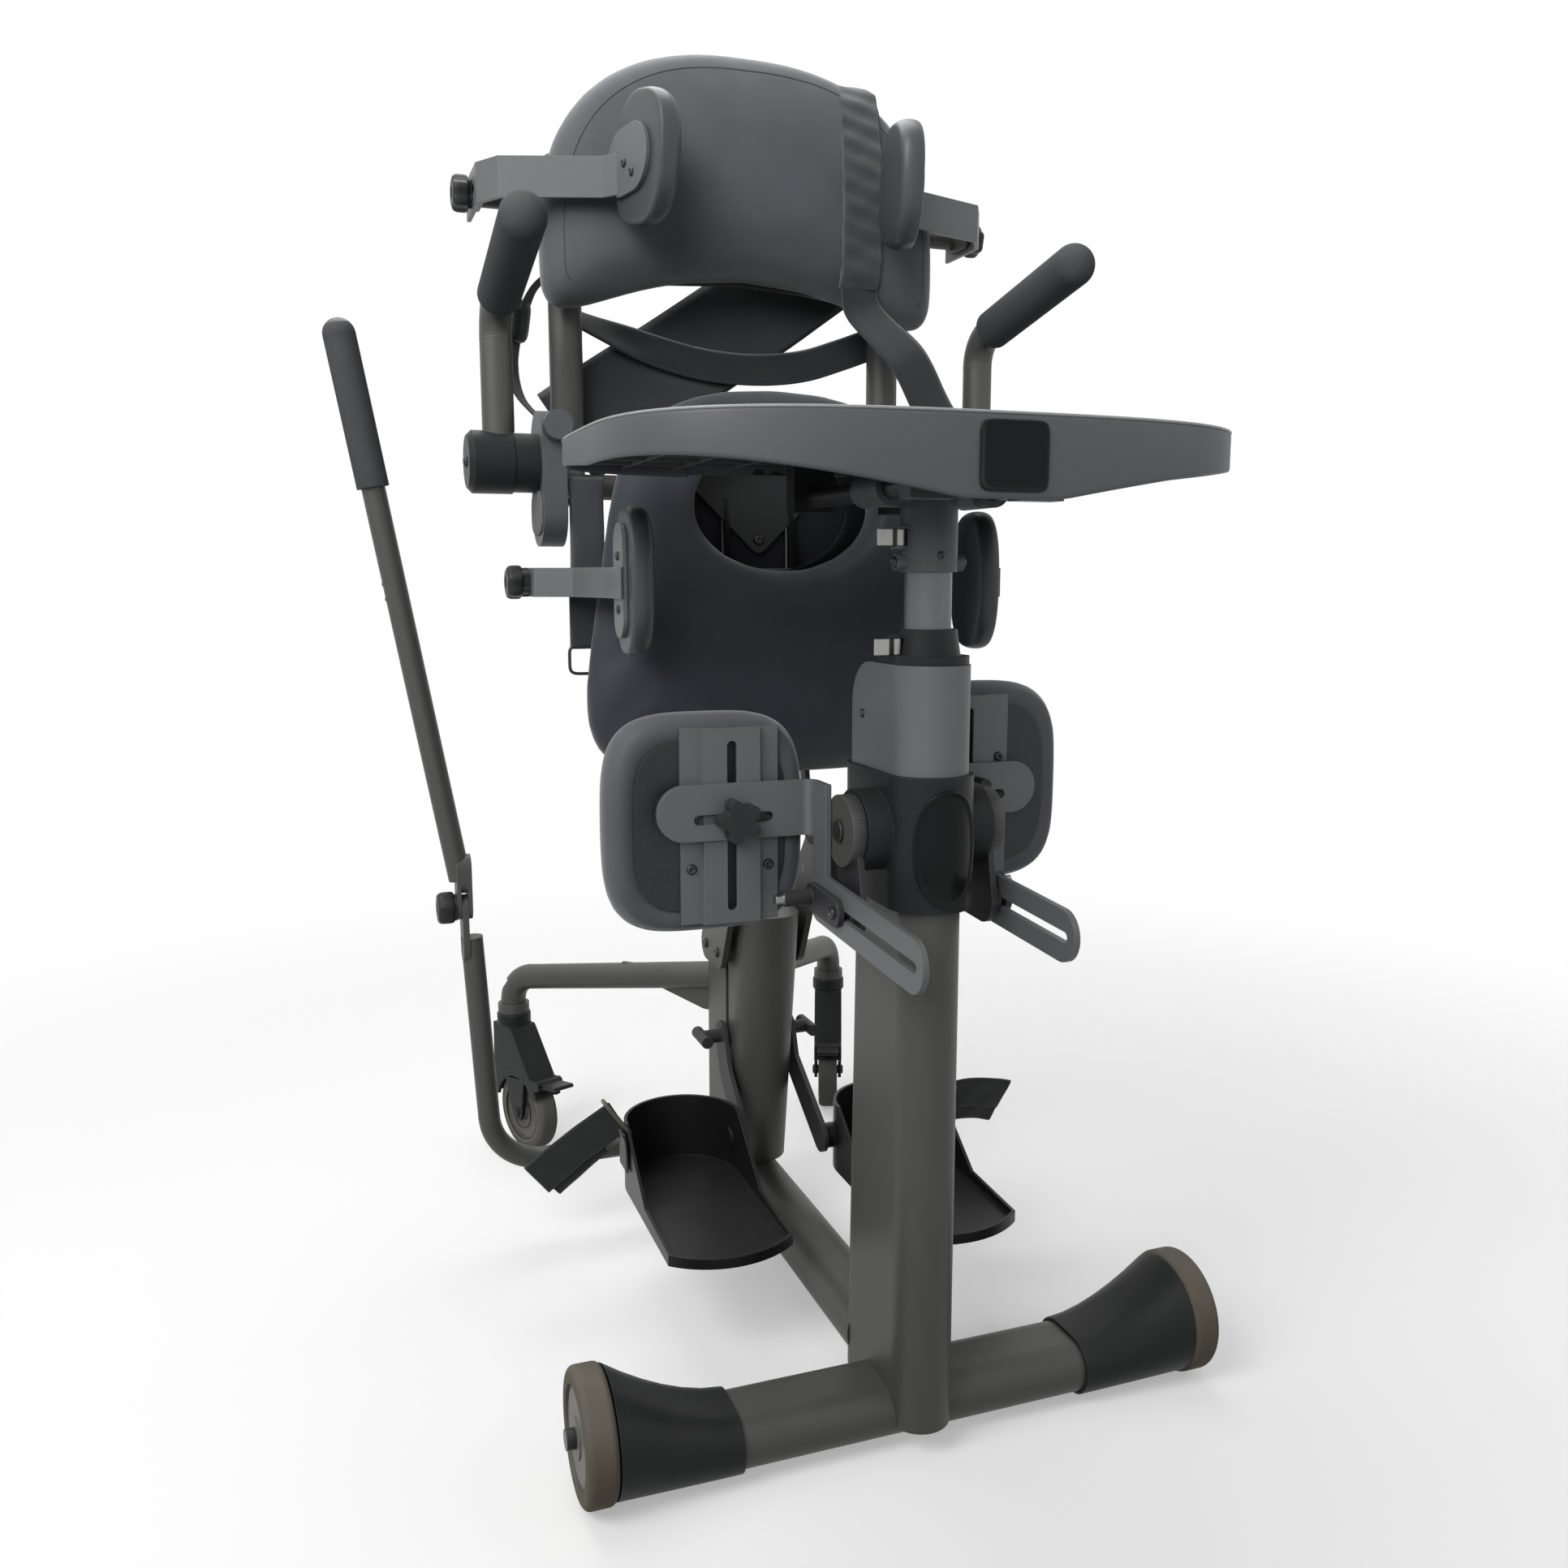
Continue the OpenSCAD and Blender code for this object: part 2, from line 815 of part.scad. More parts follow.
module front_wheel(s) {
    sided(s) translate([wheel_x, 0, wheel_r]) rotate([0, 90, 0]) {
        color("gray") rotate_extrude() difference() {
            translate([hub_d / 2 + piece_gap, 0]) {
                translate([0, tyre_round])
                    square([wheel_r - hub_d / 2 - piece_gap, wheel_w - 2 * tyre_round]);
                square([wheel_r - hub_d / 2 - piece_gap - tyre_round, wheel_w]);
                for (y = [tyre_round, wheel_w - tyre_round])
                    translate([wheel_r - hub_d / 2 - piece_gap - tyre_round, y]) circle(tyre_round);
            }
            square([hub_d / 2 + piece_gap, wheel_w]);
        }
        color("darkslategray") difference() {
            union() {
                cylinder(r = hub_d / 2, h = wheel_w - hub_dome);
                translate([0, 0, wheel_w - hub_dome])
                    cylinder(r1 = hub_d / 2, r2 = hub_d / 2 - 2 * hub_dome, h = hub_dome / 2);
                translate([0, 0, wheel_w - hub_dome]) cylinder(r = 2 * axle_head_r, h = hub_dome - seat_gap);
            }
            translate([0, 0, -overrun]) cylinder(r = axle_r + run_gap, h = wheel_w + 2 * overrun);
        }
    }
}

module axle_bolt() {
    head_x = wheel_x + wheel_w + seat_gap;
    pin_x([0, wheel_r], lug_x + tube_wall + seat_gap, head_x, axle_r);
    pin_x([0, wheel_r], head_x - seat_gap / 2, head_x + axle_head_t, axle_head_r);
    pin_x([0, wheel_r], lug_x + lug_t + seat_gap, wheel_x - seat_gap, axle_head_r);
}

module knee_pin() {
    head_x = cap_x0 + cap_t + seat_gap;
    pin_x(knee_pivot, housing_r - housing_wall + seat_gap, head_x, knee_pin_r);
    pin_x(knee_pivot, head_x - seat_gap / 2, head_x + plate_t / 2, knee_pin_head_r);
}

module frame_pins() {
    color("black") both_sides() {
        axle_bolt();
        knee_pin();
        pin_x(seat_pivot, hanger_x - seat_gap, yoke_x + yoke_t, seat_pin_r);
        pin_x(link_foot, yoke_x, link_x + link_t + plate_t / 2, link_pin_r);
        pin_x(link_foot, yoke_x + yoke_t + seat_gap, link_x - seat_gap, link_spacer_r);
    }
}

// Mast fittings

module knee_housing() {
    color("black") difference() {
        union() {
            translate([0, 0, housing_z]) linear_extrude(housing_h)
                oval2d(housing_r, mast_nose_y, mast_back_y);
            pin_x(knee_pivot, -drum_x, drum_x, drum_d / 2);
        }
        translate([0, 0, housing_z - overrun]) linear_extrude(housing_h + 2 * overrun)
            oval2d(mast_r + seat_gap, mast_nose_y, mast_back_y);
        both_sides() pin_x(knee_pivot, mast_r, drum_x + overrun, knee_pin_r + run_gap);
    }
}

module cam_lever_seat(z, reach) {
    translate([0, 0, z + lever_h / 2]) linear_extrude(tube_wall + seat_gap)
        bar2d([0, post_y], [-reach, post_y], lever_cam_r);
    translate([0, 0, z - lever_h / 2 - tube_wall - seat_gap]) linear_extrude(tube_wall + seat_gap)
        bar2d([0, post_y], [-reach, post_y], lever_cam_r);
}

module cam_lever_cut(z, reach) {
    translate([-reach, post_y, z - lever_h]) cylinder(r = lever_pin_r + run_gap, h = 2 * lever_h);
    translate([-reach, post_y, z - lever_h / 2 - seat_gap])
        cylinder(r = lever_cam_r + wheel_gap, h = lever_h + 2 * seat_gap);
    translate([-reach - lever_cam_r - lever_len, post_y - lever_cam_r - wheel_gap,
        z - lever_h / 2 - seat_gap])
        cube([lever_cam_r + lever_len, 2 * (lever_cam_r + wheel_gap), lever_h + 2 * seat_gap]);
}

module cam_lever(z, reach) {
    color("silver") {
        translate([-reach, post_y, z - lever_h / 2]) {
            cylinder(r = lever_cam_r - wheel_gap / 2, h = lever_h);
            translate([0, 0, -tube_wall]) cylinder(r = lever_pin_r, h = lever_h + 2 * tube_wall);
            linear_extrude(lever_h) chain2d([[-lever_t, -lever_t], [-lever_len / 2, -lever_ear / 2],
                [-lever_len, -lever_ear / 2]], lever_t / 2);
        }
    }
}

module mast_sleeve() {
    color("dimgray") difference() {
        translate([0, 0, housing_top + seat_gap]) linear_extrude(sleeve_h - seat_gap) difference() {
            oval2d(sleeve_r, mast_nose_y, sleeve_back_y);
            oval2d(mast_r + seat_gap, mast_nose_y, sleeve_back_y + mast_w);
            translate([-mast_w, sleeve_back_y]) square([2 * mast_w, mast_w]);
        }
        side_plate(-mast_w, 2 * mast_w)
            translate([sleeve_back_y - sleeve_corner, sleeve_top - sleeve_corner]) difference() {
            square(2 * sleeve_corner);
            circle(sleeve_corner);
        }
    }
    color("black") difference() {
        union() {
            translate([0, 0, mast_top + seat_gap]) linear_extrude(sleeve_top - mast_top - seat_gap)
                oval2d(mast_r, mast_nose_y, sleeve_back_y - sleeve_corner - mast_r / 2);
            translate([0, 0, sleeve_top + seat_gap]) linear_extrude(collar_flange_h)
                oval2d(sleeve_r - tube_wall / 2, mast_nose_y, sleeve_back_y - sleeve_corner - mast_r / 2);
            translate([0, post_y, sleeve_top])
                cylinder(r1 = sleeve_r - collar_taper, r2 = sleeve_r - 2 * collar_taper, h = collar_h);
            cam_lever_seat(sleeve_top + lever_rise, sleeve_r - collar_taper);
        }
        translate([0, post_y, mast_top - overrun]) cylinder(r = post_r + run_gap, h = collar_top);
        cam_lever_cut(sleeve_top + lever_rise, sleeve_r - collar_taper);
    }
}

module mast_tube() {
    color("gray") translate([0, post_y, post_z0]) difference() {
        cylinder(r = post_r, h = rod_z - rod_boss_r - post_z0);
        translate([0, 0, -overrun]) cylinder(r = post_r - post_wall, h = rod_z - post_z0);
    }
}

module tray_head() {
    color("black") difference() {
        union() {
            translate([0, post_y, head_z]) cylinder(r = head_r, h = rod_z - head_z);
            pin_x([post_y, rod_z], -rod_x, rod_x, rod_boss_r);
            both_sides() pin_y(rod_x, rod_z, post_y - rod_boss_len / 2, post_y + rod_boss_len / 2,
                rod_boss_r);
            cam_lever_seat(head_z + head_h / 3, head_r + lever_t);
            both_sides() pin_x([post_y, head_z + lever_ear / 2], post_r + run_gap, head_r + lever_cam_r,
                lever_cam_r);
        }
        translate([0, post_y, head_z - overrun])
            cylinder(r = post_r + run_gap, h = rod_z - rod_boss_r - head_z + overrun + seat_gap);
        both_sides() pin_y(rod_x, rod_z, post_y - rod_boss_len, post_y + rod_boss_len, rod_r + run_gap);
        cam_lever_cut(head_z + head_h / 3, head_r + lever_t);
    }
}

module mast_lever() {
    cam_lever(sleeve_top + lever_rise, sleeve_r - collar_taper);
}

module tray_lever() {
    cam_lever(head_z + head_h / 3, head_r + lever_t);
}

// Tray

module tray_outline(inset) {
    difference() {
        translate([0, tray_y]) polygon([for (i = [0 : tray_fn - 1])
            let (power = 2 * i < tray_fn ? tray_power_back : tray_power)
            pad_point(full_turn * i / tray_fn, tray_w / 2, tray_d / 2, power, 0, inset)]);
        translate([0, tray_y + tray_d / 2 - belly_depth + belly_r]) circle(belly_r + inset);
    }
}

module tray_ribs() {
    count = floor(tray_w / rib_pitch / 2);
    for (i = [-count : count]) {
        translate([i * rib_pitch - rib_t / 2, tray_y - tray_d / 2, 0]) cube([rib_t, tray_d, rib_h]);
        translate([-tray_w / 2, tray_y + i * rib_pitch - rib_t / 2, 0]) cube([tray_w, rib_t, rib_h]);
    }
}

module tray() {
    nose_z = tray_z - tray_nose;
    skirt_z = tray_z - tray_skirt;
    rod_y = tray_y - rod_fore;
    color("dimgray") {
        translate([0, 0, tray_z - tray_wall]) linear_extrude(tray_wall) tray_outline(0);
        difference() {
            translate([0, 0, nose_z]) linear_extrude(tray_nose - tray_wall / 2) difference() {
                tray_outline(0);
                tray_outline(tray_wall);
            }
            both_sides() front_plate(-tray_w, 2 * tray_w) polygon([[rod_x, nose_z - overrun], [rod_x, nose_z],
                [nose_x, skirt_z], [tray_w, skirt_z], [tray_w, nose_z - overrun]]);
            translate([-tray_w, tray_y, nose_z - overrun])
                cube([2 * tray_w, tray_w, tray_nose + overrun - tray_skirt]);
        }
        intersection() {
            translate([0, 0, tray_z - tray_wall - rib_h]) tray_ribs();
            translate([0, 0, skirt_z]) linear_extrude(tray_skirt - tray_wall / 2)
                tray_outline(tray_wall / 2);
        }
        both_sides() for (y = [rod_y - rod_half_len, rod_y + rod_half_len - bearer_t]) difference() {
            translate([rod_x - bearer_t, y, rod_z - rod_r - tray_wall])
                cube([2 * bearer_t, bearer_t, tray_z - tray_wall / 2 - rod_z + rod_r + tray_wall]);
            pin_y(rod_x, rod_z, y - overrun, y + bearer_t + overrun, rod_r + piece_gap);
        }
    }
    color("silver") both_sides() pin_y(rod_x, rod_z, rod_y - rod_half_len, rod_y + rod_half_len, rod_r);
}

// Knee supports

clamp_back = bar_mid + clamp_half * bar_dir;
clamp_front = bar_mid - clamp_half * bar_dir;

module knee_arm(s) {
    outer_x = bar_x0 + plate_t + seat_gap;
    sided(s) color("black") difference() {
        union() {
            side_plate(arm_x0, plate_t) {
                web2d([knee_pivot, clamp_back, clamp_front], clamp_r);
                translate(knee_pivot) circle(cap_d / 2);
            }
            pin_x(knee_pivot, arm_x0, cap_x0 + cap_t, cap_d / 2);
            for (p = [clamp_back, clamp_front]) {
                pin_x(p, arm_x0, bar_x0 - seat_gap, clamp_plate_r);
                pin_x(p, arm_x0, outer_x + plate_t, stud_r);
            }
            side_plate(outer_x, plate_t) bar2d(clamp_back, clamp_front, clamp_plate_r);
            pin_x(clamp_back, outer_x, outer_x + plunger_len, plunger_r);
            pin_x(clamp_back, outer_x, outer_x + plunger_len + plunger_tip_len, plunger_tip_r);
        }
        pin_x(knee_pivot, drum_x, cap_x0 + cap_t + overrun, knee_pin_r + run_gap);
    }
}

// Sets a piece back along the slotted bar
module set_back(set) {
    translate([0, set * bar_dir[0], set * bar_dir[1]]) children();
}

module knee_bracket(s, set, in) {
    tip = bar_mid - (bar_reach - bar_w / 2) * bar_dir;
    heel = bar_mid + bar_back * bar_dir;
    riser_y = knee_bar_y - bend_in;
    bend_x = bar_x0 + plate_t + bend_in;
    stud_x = channel_x - in;
    end_x = stud_x + knee_bar_over;
    slot_x = max(stud_x - 2 * slot_end, bend_x + slot_w);
    low_z = knee_bar_z - knee_bar_h / 2;
    slot_front = bar_mid - (bar_reach - slot_end) * bar_dir;
    sided(s) set_back(set) color("dimgray") {
        side_plate(bar_x0, plate_t) difference() {
            union() {
                bar2d(tip, heel, bar_w / 2);
                translate([riser_y - riser_w, heel[1]]) square([riser_w, low_z + knee_bar_h - heel[1]]);
            }
            bar2d(slot_front, clamp_back + plate_t / 2 * bar_dir, slot_w / 2);
        }
        translate([bend_x, riser_y, low_z]) linear_extrude(knee_bar_h) intersection() {
            difference() {
                circle(bend_in + plate_t);
                circle(bend_in);
            }
            translate([-bend_in - plate_t, 0]) square(bend_in + plate_t);
        }
        front_plate(knee_bar_y, plate_t) difference() {
            union() {
                translate([bend_x, low_z]) square([end_x - bend_x, knee_bar_h]);
                translate([end_x, knee_bar_z]) circle(knee_bar_h / 2);
            }
            bar2d([slot_x, stud_z], [stud_x + 2 * slot_end, stud_z], slot_w / 2);
        }
    }
}

module star2d(r, lobe_r) {
    circle(r);
    for (i = [0 : knob_lobes - 1]) rotate(full_turn * i / knob_lobes) translate([r, 0]) circle(lobe_r);
}

// The clamp knob of a guide at a point [y, z], on the foot plate whose inner face is at x
module guide_knob(x, p) {
    knob_x = x + guide_foot_t + 2 * seat_gap + strap_t;
    pin_x(p, x, knob_x + guide_knob_t, guide_stud_r);
    side_plate(knob_x, guide_knob_t) translate(p) star2d(guide_knob_r - knob_lobe_r / 2, knob_lobe_r / 2);
}

module knee_knob(s, set, in) {
    face_y = knee_bar_y - seat_gap;
    nut_y = channel_y + channel_t + seat_gap;
    sided(s) set_back(set) translate([channel_x - in, 0, stud_z]) color("black") {
        front_plate(face_y - nut_t - knob_t, knob_t) star2d(knob_r, knob_lobe_r);
        pin_y(0, 0, face_y - nut_t - knob_t, face_y, knob_boss_r);
        pin_y(0, 0, face_y - nut_t, nut_y + nut_t, stud_r);
        pin_y(0, 0, nut_y, nut_y + nut_t, knob_boss_r);
    }
}

module knee_plate(s, set, in, raise) {
    half = channel_w / 2;
    web_half = channel_web_w / 2;
    slot_half = channel_h / 2 - slot_end;
    sided(s) set_back(set) translate([-in, 0, raise]) color("black") {
        difference() {
            translate([channel_x, channel_y, knee_pad_z - channel_h / 2]) linear_extrude(channel_h) {
                translate([-web_half, 0]) square([channel_web_w, channel_t]);
                for (x = [-web_half, web_half - channel_t])
                    translate([x, 0]) square([channel_t, channel_depth]);
                for (x = [-half, web_half - channel_t])
                    translate([x, channel_depth - channel_t])
                        square([half - web_half + channel_t, channel_t]);
            }
            front_plate(channel_y - overrun, channel_t + 2 * overrun)
                bar2d([channel_x, knee_pad_z - slot_half], [channel_x, knee_pad_z + slot_half], slot_w / 2);
        }
        front_plate(board_y - piece_gap, board_t + piece_gap) translate([knee_pad_x, knee_pad_z])
            polygon([for (i = [0 : soft_fn - 1])
                pad_point(full_turn * i / soft_fn, knee_pad_w / 2, knee_pad_h / 2, knee_power, 0,
                    board_inset)]);
    }
}

module knee_pad(s, set, in, raise) {
    sided(s) set_back(set) color("darkslategray") translate([knee_pad_x - in, knee_pad_y, knee_pad_z + raise])
        rotate([90, 0, 180])
        cushion(function (a, inset) pad_point(a, knee_pad_w / 2, knee_pad_h / 2, knee_power, 0, inset),
            knee_pad_t, knee_crown, pad_edge, knee_pad_w / 4);
}

// Column and lift

module rear_column() {
    color("dimgray") difference() {
        union() {
            column_body(column_r, column_foot_z, column_top_z);
            both_sides() {
                side_plate(yoke_x, yoke_t)
                    web2d([seat_pivot, [yoke_front_y, yoke_low_z], [yoke_back_y, yoke_low_z]], yoke_r);
                for (y = [yoke_front_y, yoke_back_y])
                    pin_x([y, yoke_low_z], column_r - tube_wall, yoke_x + yoke_t / 2, yoke_boss_r);
            }
        }
        column_body(column_r - tube_wall, column_foot_z - overrun, column_top_z - tube_wall);
        both_sides() {
            side_plate(column_r - 2 * tube_wall, 3 * tube_wall)
                bar2d([foot_slot_y, foot_slot_z + foot_slot_w / 2],
                    [foot_slot_y, foot_slot_z + foot_slot_len - foot_slot_w / 2], foot_slot_w / 2);
            pin_x(seat_pivot, yoke_x - overrun, yoke_x + yoke_t + overrun, seat_pin_r + run_gap);
            pin_x(link_foot, yoke_x - overrun, yoke_x + yoke_t + overrun, link_pin_r + run_gap);
        }
        pin_x([pump_y, pump_z], -column_w, 0, pump_r + seat_gap);
        translate([0, lift_point[0], column_top_z - column_r])
            cylinder(r = cylinder_r + wheel_gap, h = column_w);
    }
}

module hydraulic_pump() {
    color("gray") difference() {
        column_body(column_r - tube_wall - seat_gap, column_foot_z, column_foot_z + pump_block_h);
        pin_x([pump_y, pump_z], -column_w, -pump_in + wheel_gap, pump_r + run_gap);
    }
}

module lift_cylinder() {
    color("silver") translate([0, lift_point[0], 0]) difference() {
        translate([0, 0, cylinder_foot_z]) cylinder(r = cylinder_r, h = cylinder_top_z - cylinder_foot_z);
        translate([0, 0, cylinder_foot_z + cylinder_cap_t])
            cylinder(r = cylinder_bore_r, h = cylinder_top_z - cylinder_foot_z - 2 * cylinder_cap_t);
        translate([0, 0, cylinder_top_z - 2 * cylinder_cap_t])
            cylinder(r = lift_rod_r + run_gap, h = 4 * cylinder_cap_t);
    }
}

module lift_rod() {
    color("silver") {
        translate([0, lift_point[0], piston_z]) {
            cylinder(r = lift_rod_r, h = lift_point[1] - piston_z);
            cylinder(r = cylinder_bore_r - 2 * run_gap, h = piston_t);
        }
        pin_x(lift_point, -lift_eye_w / 2, lift_eye_w / 2, lift_eye_r);
    }
}

// Seat

module seat_frame() {
    pan_web_y = pan_y + pan_t / 2;
    color("dimgray") difference() {
        union() {
            both_sides() {
                side_plate(hanger_x, plate_t) {
                    chain2d([seat_pivot, hanger_low, hanger_mid, back_pivot], hanger_r);
                    translate([pan_web_y, hanger_low[1] + 4 * hanger_r])
                        square([hanger_r, rail_z - hanger_low[1] - 4 * hanger_r]);
                }
                side_plate(lift_lug_x, lift_lug_t) {
                    web2d([lift_point, [pan_web_y + lift_eye_r, lift_point[1] + lift_lug_r],
                        [pan_web_y + lift_eye_r, lift_point[1] + 6 * lift_lug_r]], lift_eye_r);
                    translate(lift_point) circle(lift_lug_r);
                }
                front_plate(rail_y, rail_t) translate([0, rail_z - rail_h / 2])
                    square([rail_x + guide_foot_t / 2, rail_h]);
                side_plate(rail_x, guide_foot_t)
                    bar2d([hip_knob_y, rail_z], [hip_knob_y + slot_end, rail_z], rail_h / 2);
            }
            front_plate(pan_y, pan_t) translate([0, seat_mid_z]) polygon([for (i = [0 : 2 * soft_fn - 1])
                pad_point(full_turn * i / soft_fn / 2, seat_w / 2, seat_h / 2, seat_power, seat_taper_share,
                    pan_inset)]);
        }
        translate([0, pan_y - overrun, seat_hole_z]) rotate([-90, 0, 0])
            scale([seat_hole_w / seat_hole_h, 1, 1])
            cylinder(r = seat_hole_h / 2, h = pan_t + 2 * overrun);
        both_sides() {
            pin_x(seat_pivot, hanger_x - overrun, hanger_x + plate_t + overrun, seat_pin_r + run_gap);
            pin_x(back_pivot, hanger_x - overrun, hanger_x + plate_t + overrun, back_pin_r + run_gap);
        }
    }
    color("black") front_plate(spider_y, spider_t)
        web2d([[-spider_w / 2, seat_hole_z + spider_h / 2], [0, seat_hole_z - spider_h / 2],
            [spider_w / 2, seat_hole_z + spider_h / 2]], spider_r);
    color("black") both_sides() guide_knob(rail_x, [hip_knob_y, rail_z]);
}

module seat_pad() {
    color("darkslategray") difference() {
        translate([0, seat_back_y, seat_mid_z]) rotate([90, 0, 0])
            cushion(function (a, inset)
                pad_point(a, seat_w / 2, seat_h / 2, seat_power, seat_taper_share, inset),
                seat_t, seat_crown, pad_edge, seat_w / 8);
        translate([0, seat_back_y - seat_t - 2 * seat_crown, seat_hole_z]) rotate([-90, 0, 0])
            scale([seat_hole_w / seat_hole_h, 1, 1])
                cylinder(r = seat_hole_h / 2, h = 2 * seat_t, $fn = soft_fn);
    }
}

// Hip guides and lateral supports

// A bent flat strap whose path is given as [x, y]
module plan_strap(path, z, h) {
    translate([0, 0, z - h / 2]) linear_extrude(h) chain2d(path, strap_t / 2);
}

module hip_bracket(s) {
    tongue_x = rail_x + guide_foot_t + seat_gap + strap_t / 2;
    back_x = hip_pad_x + seat_gap + strap_t + strap_t / 2 - piece_gap;
    sided(s) color("dimgray") difference() {
        union() {
            plan_strap([[back_x, hip_pad_y - hip_pad_d / 4], [back_x, hip_pad_y + hip_pad_d / 2],
                [back_x + 4 * strap_t, hip_knob_y - 1.25 * hip_tongue],
                    [tongue_x, hip_knob_y - 0.75 * hip_tongue],
                [tongue_x, hip_knob_y + hip_tongue]], rail_z, strap_h);
            side_plate(hip_pad_x + seat_gap, strap_t) bar2d([hip_pad_y, hip_pad_z - hip_pad_h / 4],
                [hip_pad_y, hip_pad_z + hip_pad_h / 4], hip_pad_d / 4);
        }
        side_plate(tongue_x - 2 * strap_t, 4 * strap_t)
            bar2d([hip_knob_y - plate_t, rail_z], [hip_knob_y + hip_tongue - slot_w, rail_z], slot_w / 2);
    }
}

module hip_pad(s) {
    sided(s) color("darkslategray") translate([hip_pad_x, hip_pad_y, hip_pad_z]) rotate([90, 0, -90])
        cushion(function (a, inset) pad_point(a, hip_pad_d / 2, hip_pad_h / 2, hip_power, 0, inset),
            hip_pad_t, hip_crown, pad_edge / 2, hip_pad_d / 4);
}

// A point [x, y] over the turned back of a lateral pad, out from it and back along it
function on_lateral(out, back) = [lateral_x + out * cos(lateral_toe) + back * sin(lateral_toe),
    lateral_y - out * sin(lateral_toe) + back * cos(lateral_toe)];

module lateral_bracket(s) {
    tongue_x = lateral_mount_x + guide_foot_t + seat_gap + strap_t / 2;
    off = seat_gap + strap_t / 2;
    turn_y = lateral_mount_y - lateral_tongue;
    sided(s) color("dimgray") difference() {
        union() {
            plan_strap([on_lateral(off, 0), on_lateral(off, lateral_d / 3),
                on_lateral(off + 2 * strap_t, lateral_d / 2), [tongue_x - 4 * strap_t, turn_y - strap_h],
                [tongue_x, turn_y], [tongue_x, lateral_mount_y + lateral_tongue]],
                lateral_mount_z, lateral_strap_h);
            translate([lateral_x, lateral_y, lateral_z]) rotate([0, 0, -lateral_toe])
                side_plate(seat_gap, strap_t) bar2d([0, 0], [lateral_d / 4, 0], lateral_h / 4);
        }
        side_plate(tongue_x - 2 * strap_t, 4 * strap_t)
            bar2d([lateral_mount_y - 2 * slot_w, lateral_mount_z],
                [lateral_mount_y + lateral_tongue - slot_w, lateral_mount_z], slot_w / 2);
    }
}

module lateral_pad(s) {
    sided(s) color("darkslategray") translate([lateral_x, lateral_y, lateral_z])
        rotate([0, 0, -90 - lateral_toe]) rotate([90, lateral_tilt, 0])
        cushion(function (a, inset) pad_point(a, lateral_d / 2, lateral_h / 2, lateral_power, 0, inset),
            lateral_t, hip_crown, pad_edge / 2, lateral_h / 4);
}

// Back

function back_point(a, inset) =
    let (up = sin(a) >= 0,
        power = up ? back_power_up : back_power_down,
        x = (back_w / 2 - inset) * round_power(cos(a), power),
        y = ((up ? back_up : back_down) - inset) * round_power(sin(a), power),
        lift_share = up ? 0 : -y / back_down)
    [x, y + back_arch * lift_share * (1 - pow(2 * x / back_w, 2))];

module back_frame() {
    board_y = back_pad_y + seat_gap;
    bar_z = cross_bar_z;
    color("dimgray") {
        both_sides() {
            translate([back_tube_x, back_tube_y, back_tube_low])
                cylinder(r = back_tube_r, h = back_tube_top - back_tube_low);
            side_plate(bracket_x, plate_t) web2d([back_pivot, link_head, [back_tube_y, bar_z]], bracket_r);
            pin_x(back_pivot, hanger_x - wheel_gap, bracket_x + plate_t / 2, back_pin_r);
            pin_x(link_head, bracket_x, link_x + link_t + plate_t / 2, link_pin_r);
            pin_x(link_head, bracket_x, link_x - seat_gap, link_spacer_r);
            side_plate(dial_x0, dial_x1 - dial_x0) bar2d([back_pivot_y, back_pivot_z + dial_up],
                [back_pivot_y, back_pivot_z - dial_down], dial_r);
            side_plate(back_tube_x, dial_x0 - back_tube_x + plate_t)
                bar2d([back_pivot_y + dial_r / 2, bar_z], [back_tube_y, bar_z], bracket_r);
            pin_x(back_pivot, dial_x1 - plate_t, hub_x0 - seat_gap, dial_ring_r);
            pin_x(back_pivot, dial_x1, hub_x0 + hub_pin_len, hub_pin_r);
            pin_y((dial_x0 + dial_x1) / 2, dial_knob_z, back_pivot_y - dial_r - dial_knob_t / 2,
                back_pivot_y, dial_knob_r / 2);
            pin_y((dial_x0 + dial_x1) / 2, dial_knob_z, back_pivot_y - dial_r - 3 * dial_knob_t / 2,
                back_pivot_y - dial_r - dial_knob_t / 2, dial_knob_r);
            pin_x([back_tube_y, lateral_mount_z], back_tube_x, lateral_mount_x + plate_t / 2, lateral_bar_r);
            side_plate(lateral_mount_x, guide_foot_t)
                bar2d([lateral_mount_y - slot_end, lateral_mount_z], [back_tube_y, lateral_mount_z],
                    rail_h / 2);
            guide_knob(lateral_mount_x, [lateral_mount_y, lateral_mount_z]);
        }
        pin_x([back_tube_y, bar_z], -back_tube_x, back_tube_x, cross_bar_r);
        front_plate(board_y, back_board_t + piece_gap) translate([0, back_z])
            polygon([for (i = [0 : 2 * soft_fn - 1])
            back_point(full_turn * i / soft_fn / 2, board_inset)]);
        for (z = [back_z, back_tube_top - back_tube_r])
            pin_x([back_tube_y, z], -back_tube_x, back_tube_x, cross_bar_r);
    }
}

module back_pad() {
    color("darkslategray") translate([0, back_pad_y, back_z]) rotate([90, 0, 0])
        cushion(function (a, inset) back_point(a, inset), back_t, back_crown, pad_edge, back_down / 2);
}

module back_links() {
    color("dimgray") both_sides() side_plate(link_x, link_t) difference() {
        bar2d(link_foot, link_head, link_r);
        for (p = [link_foot, link_head]) translate(p) circle(link_pin_r + run_gap);
    }
}

// Arms

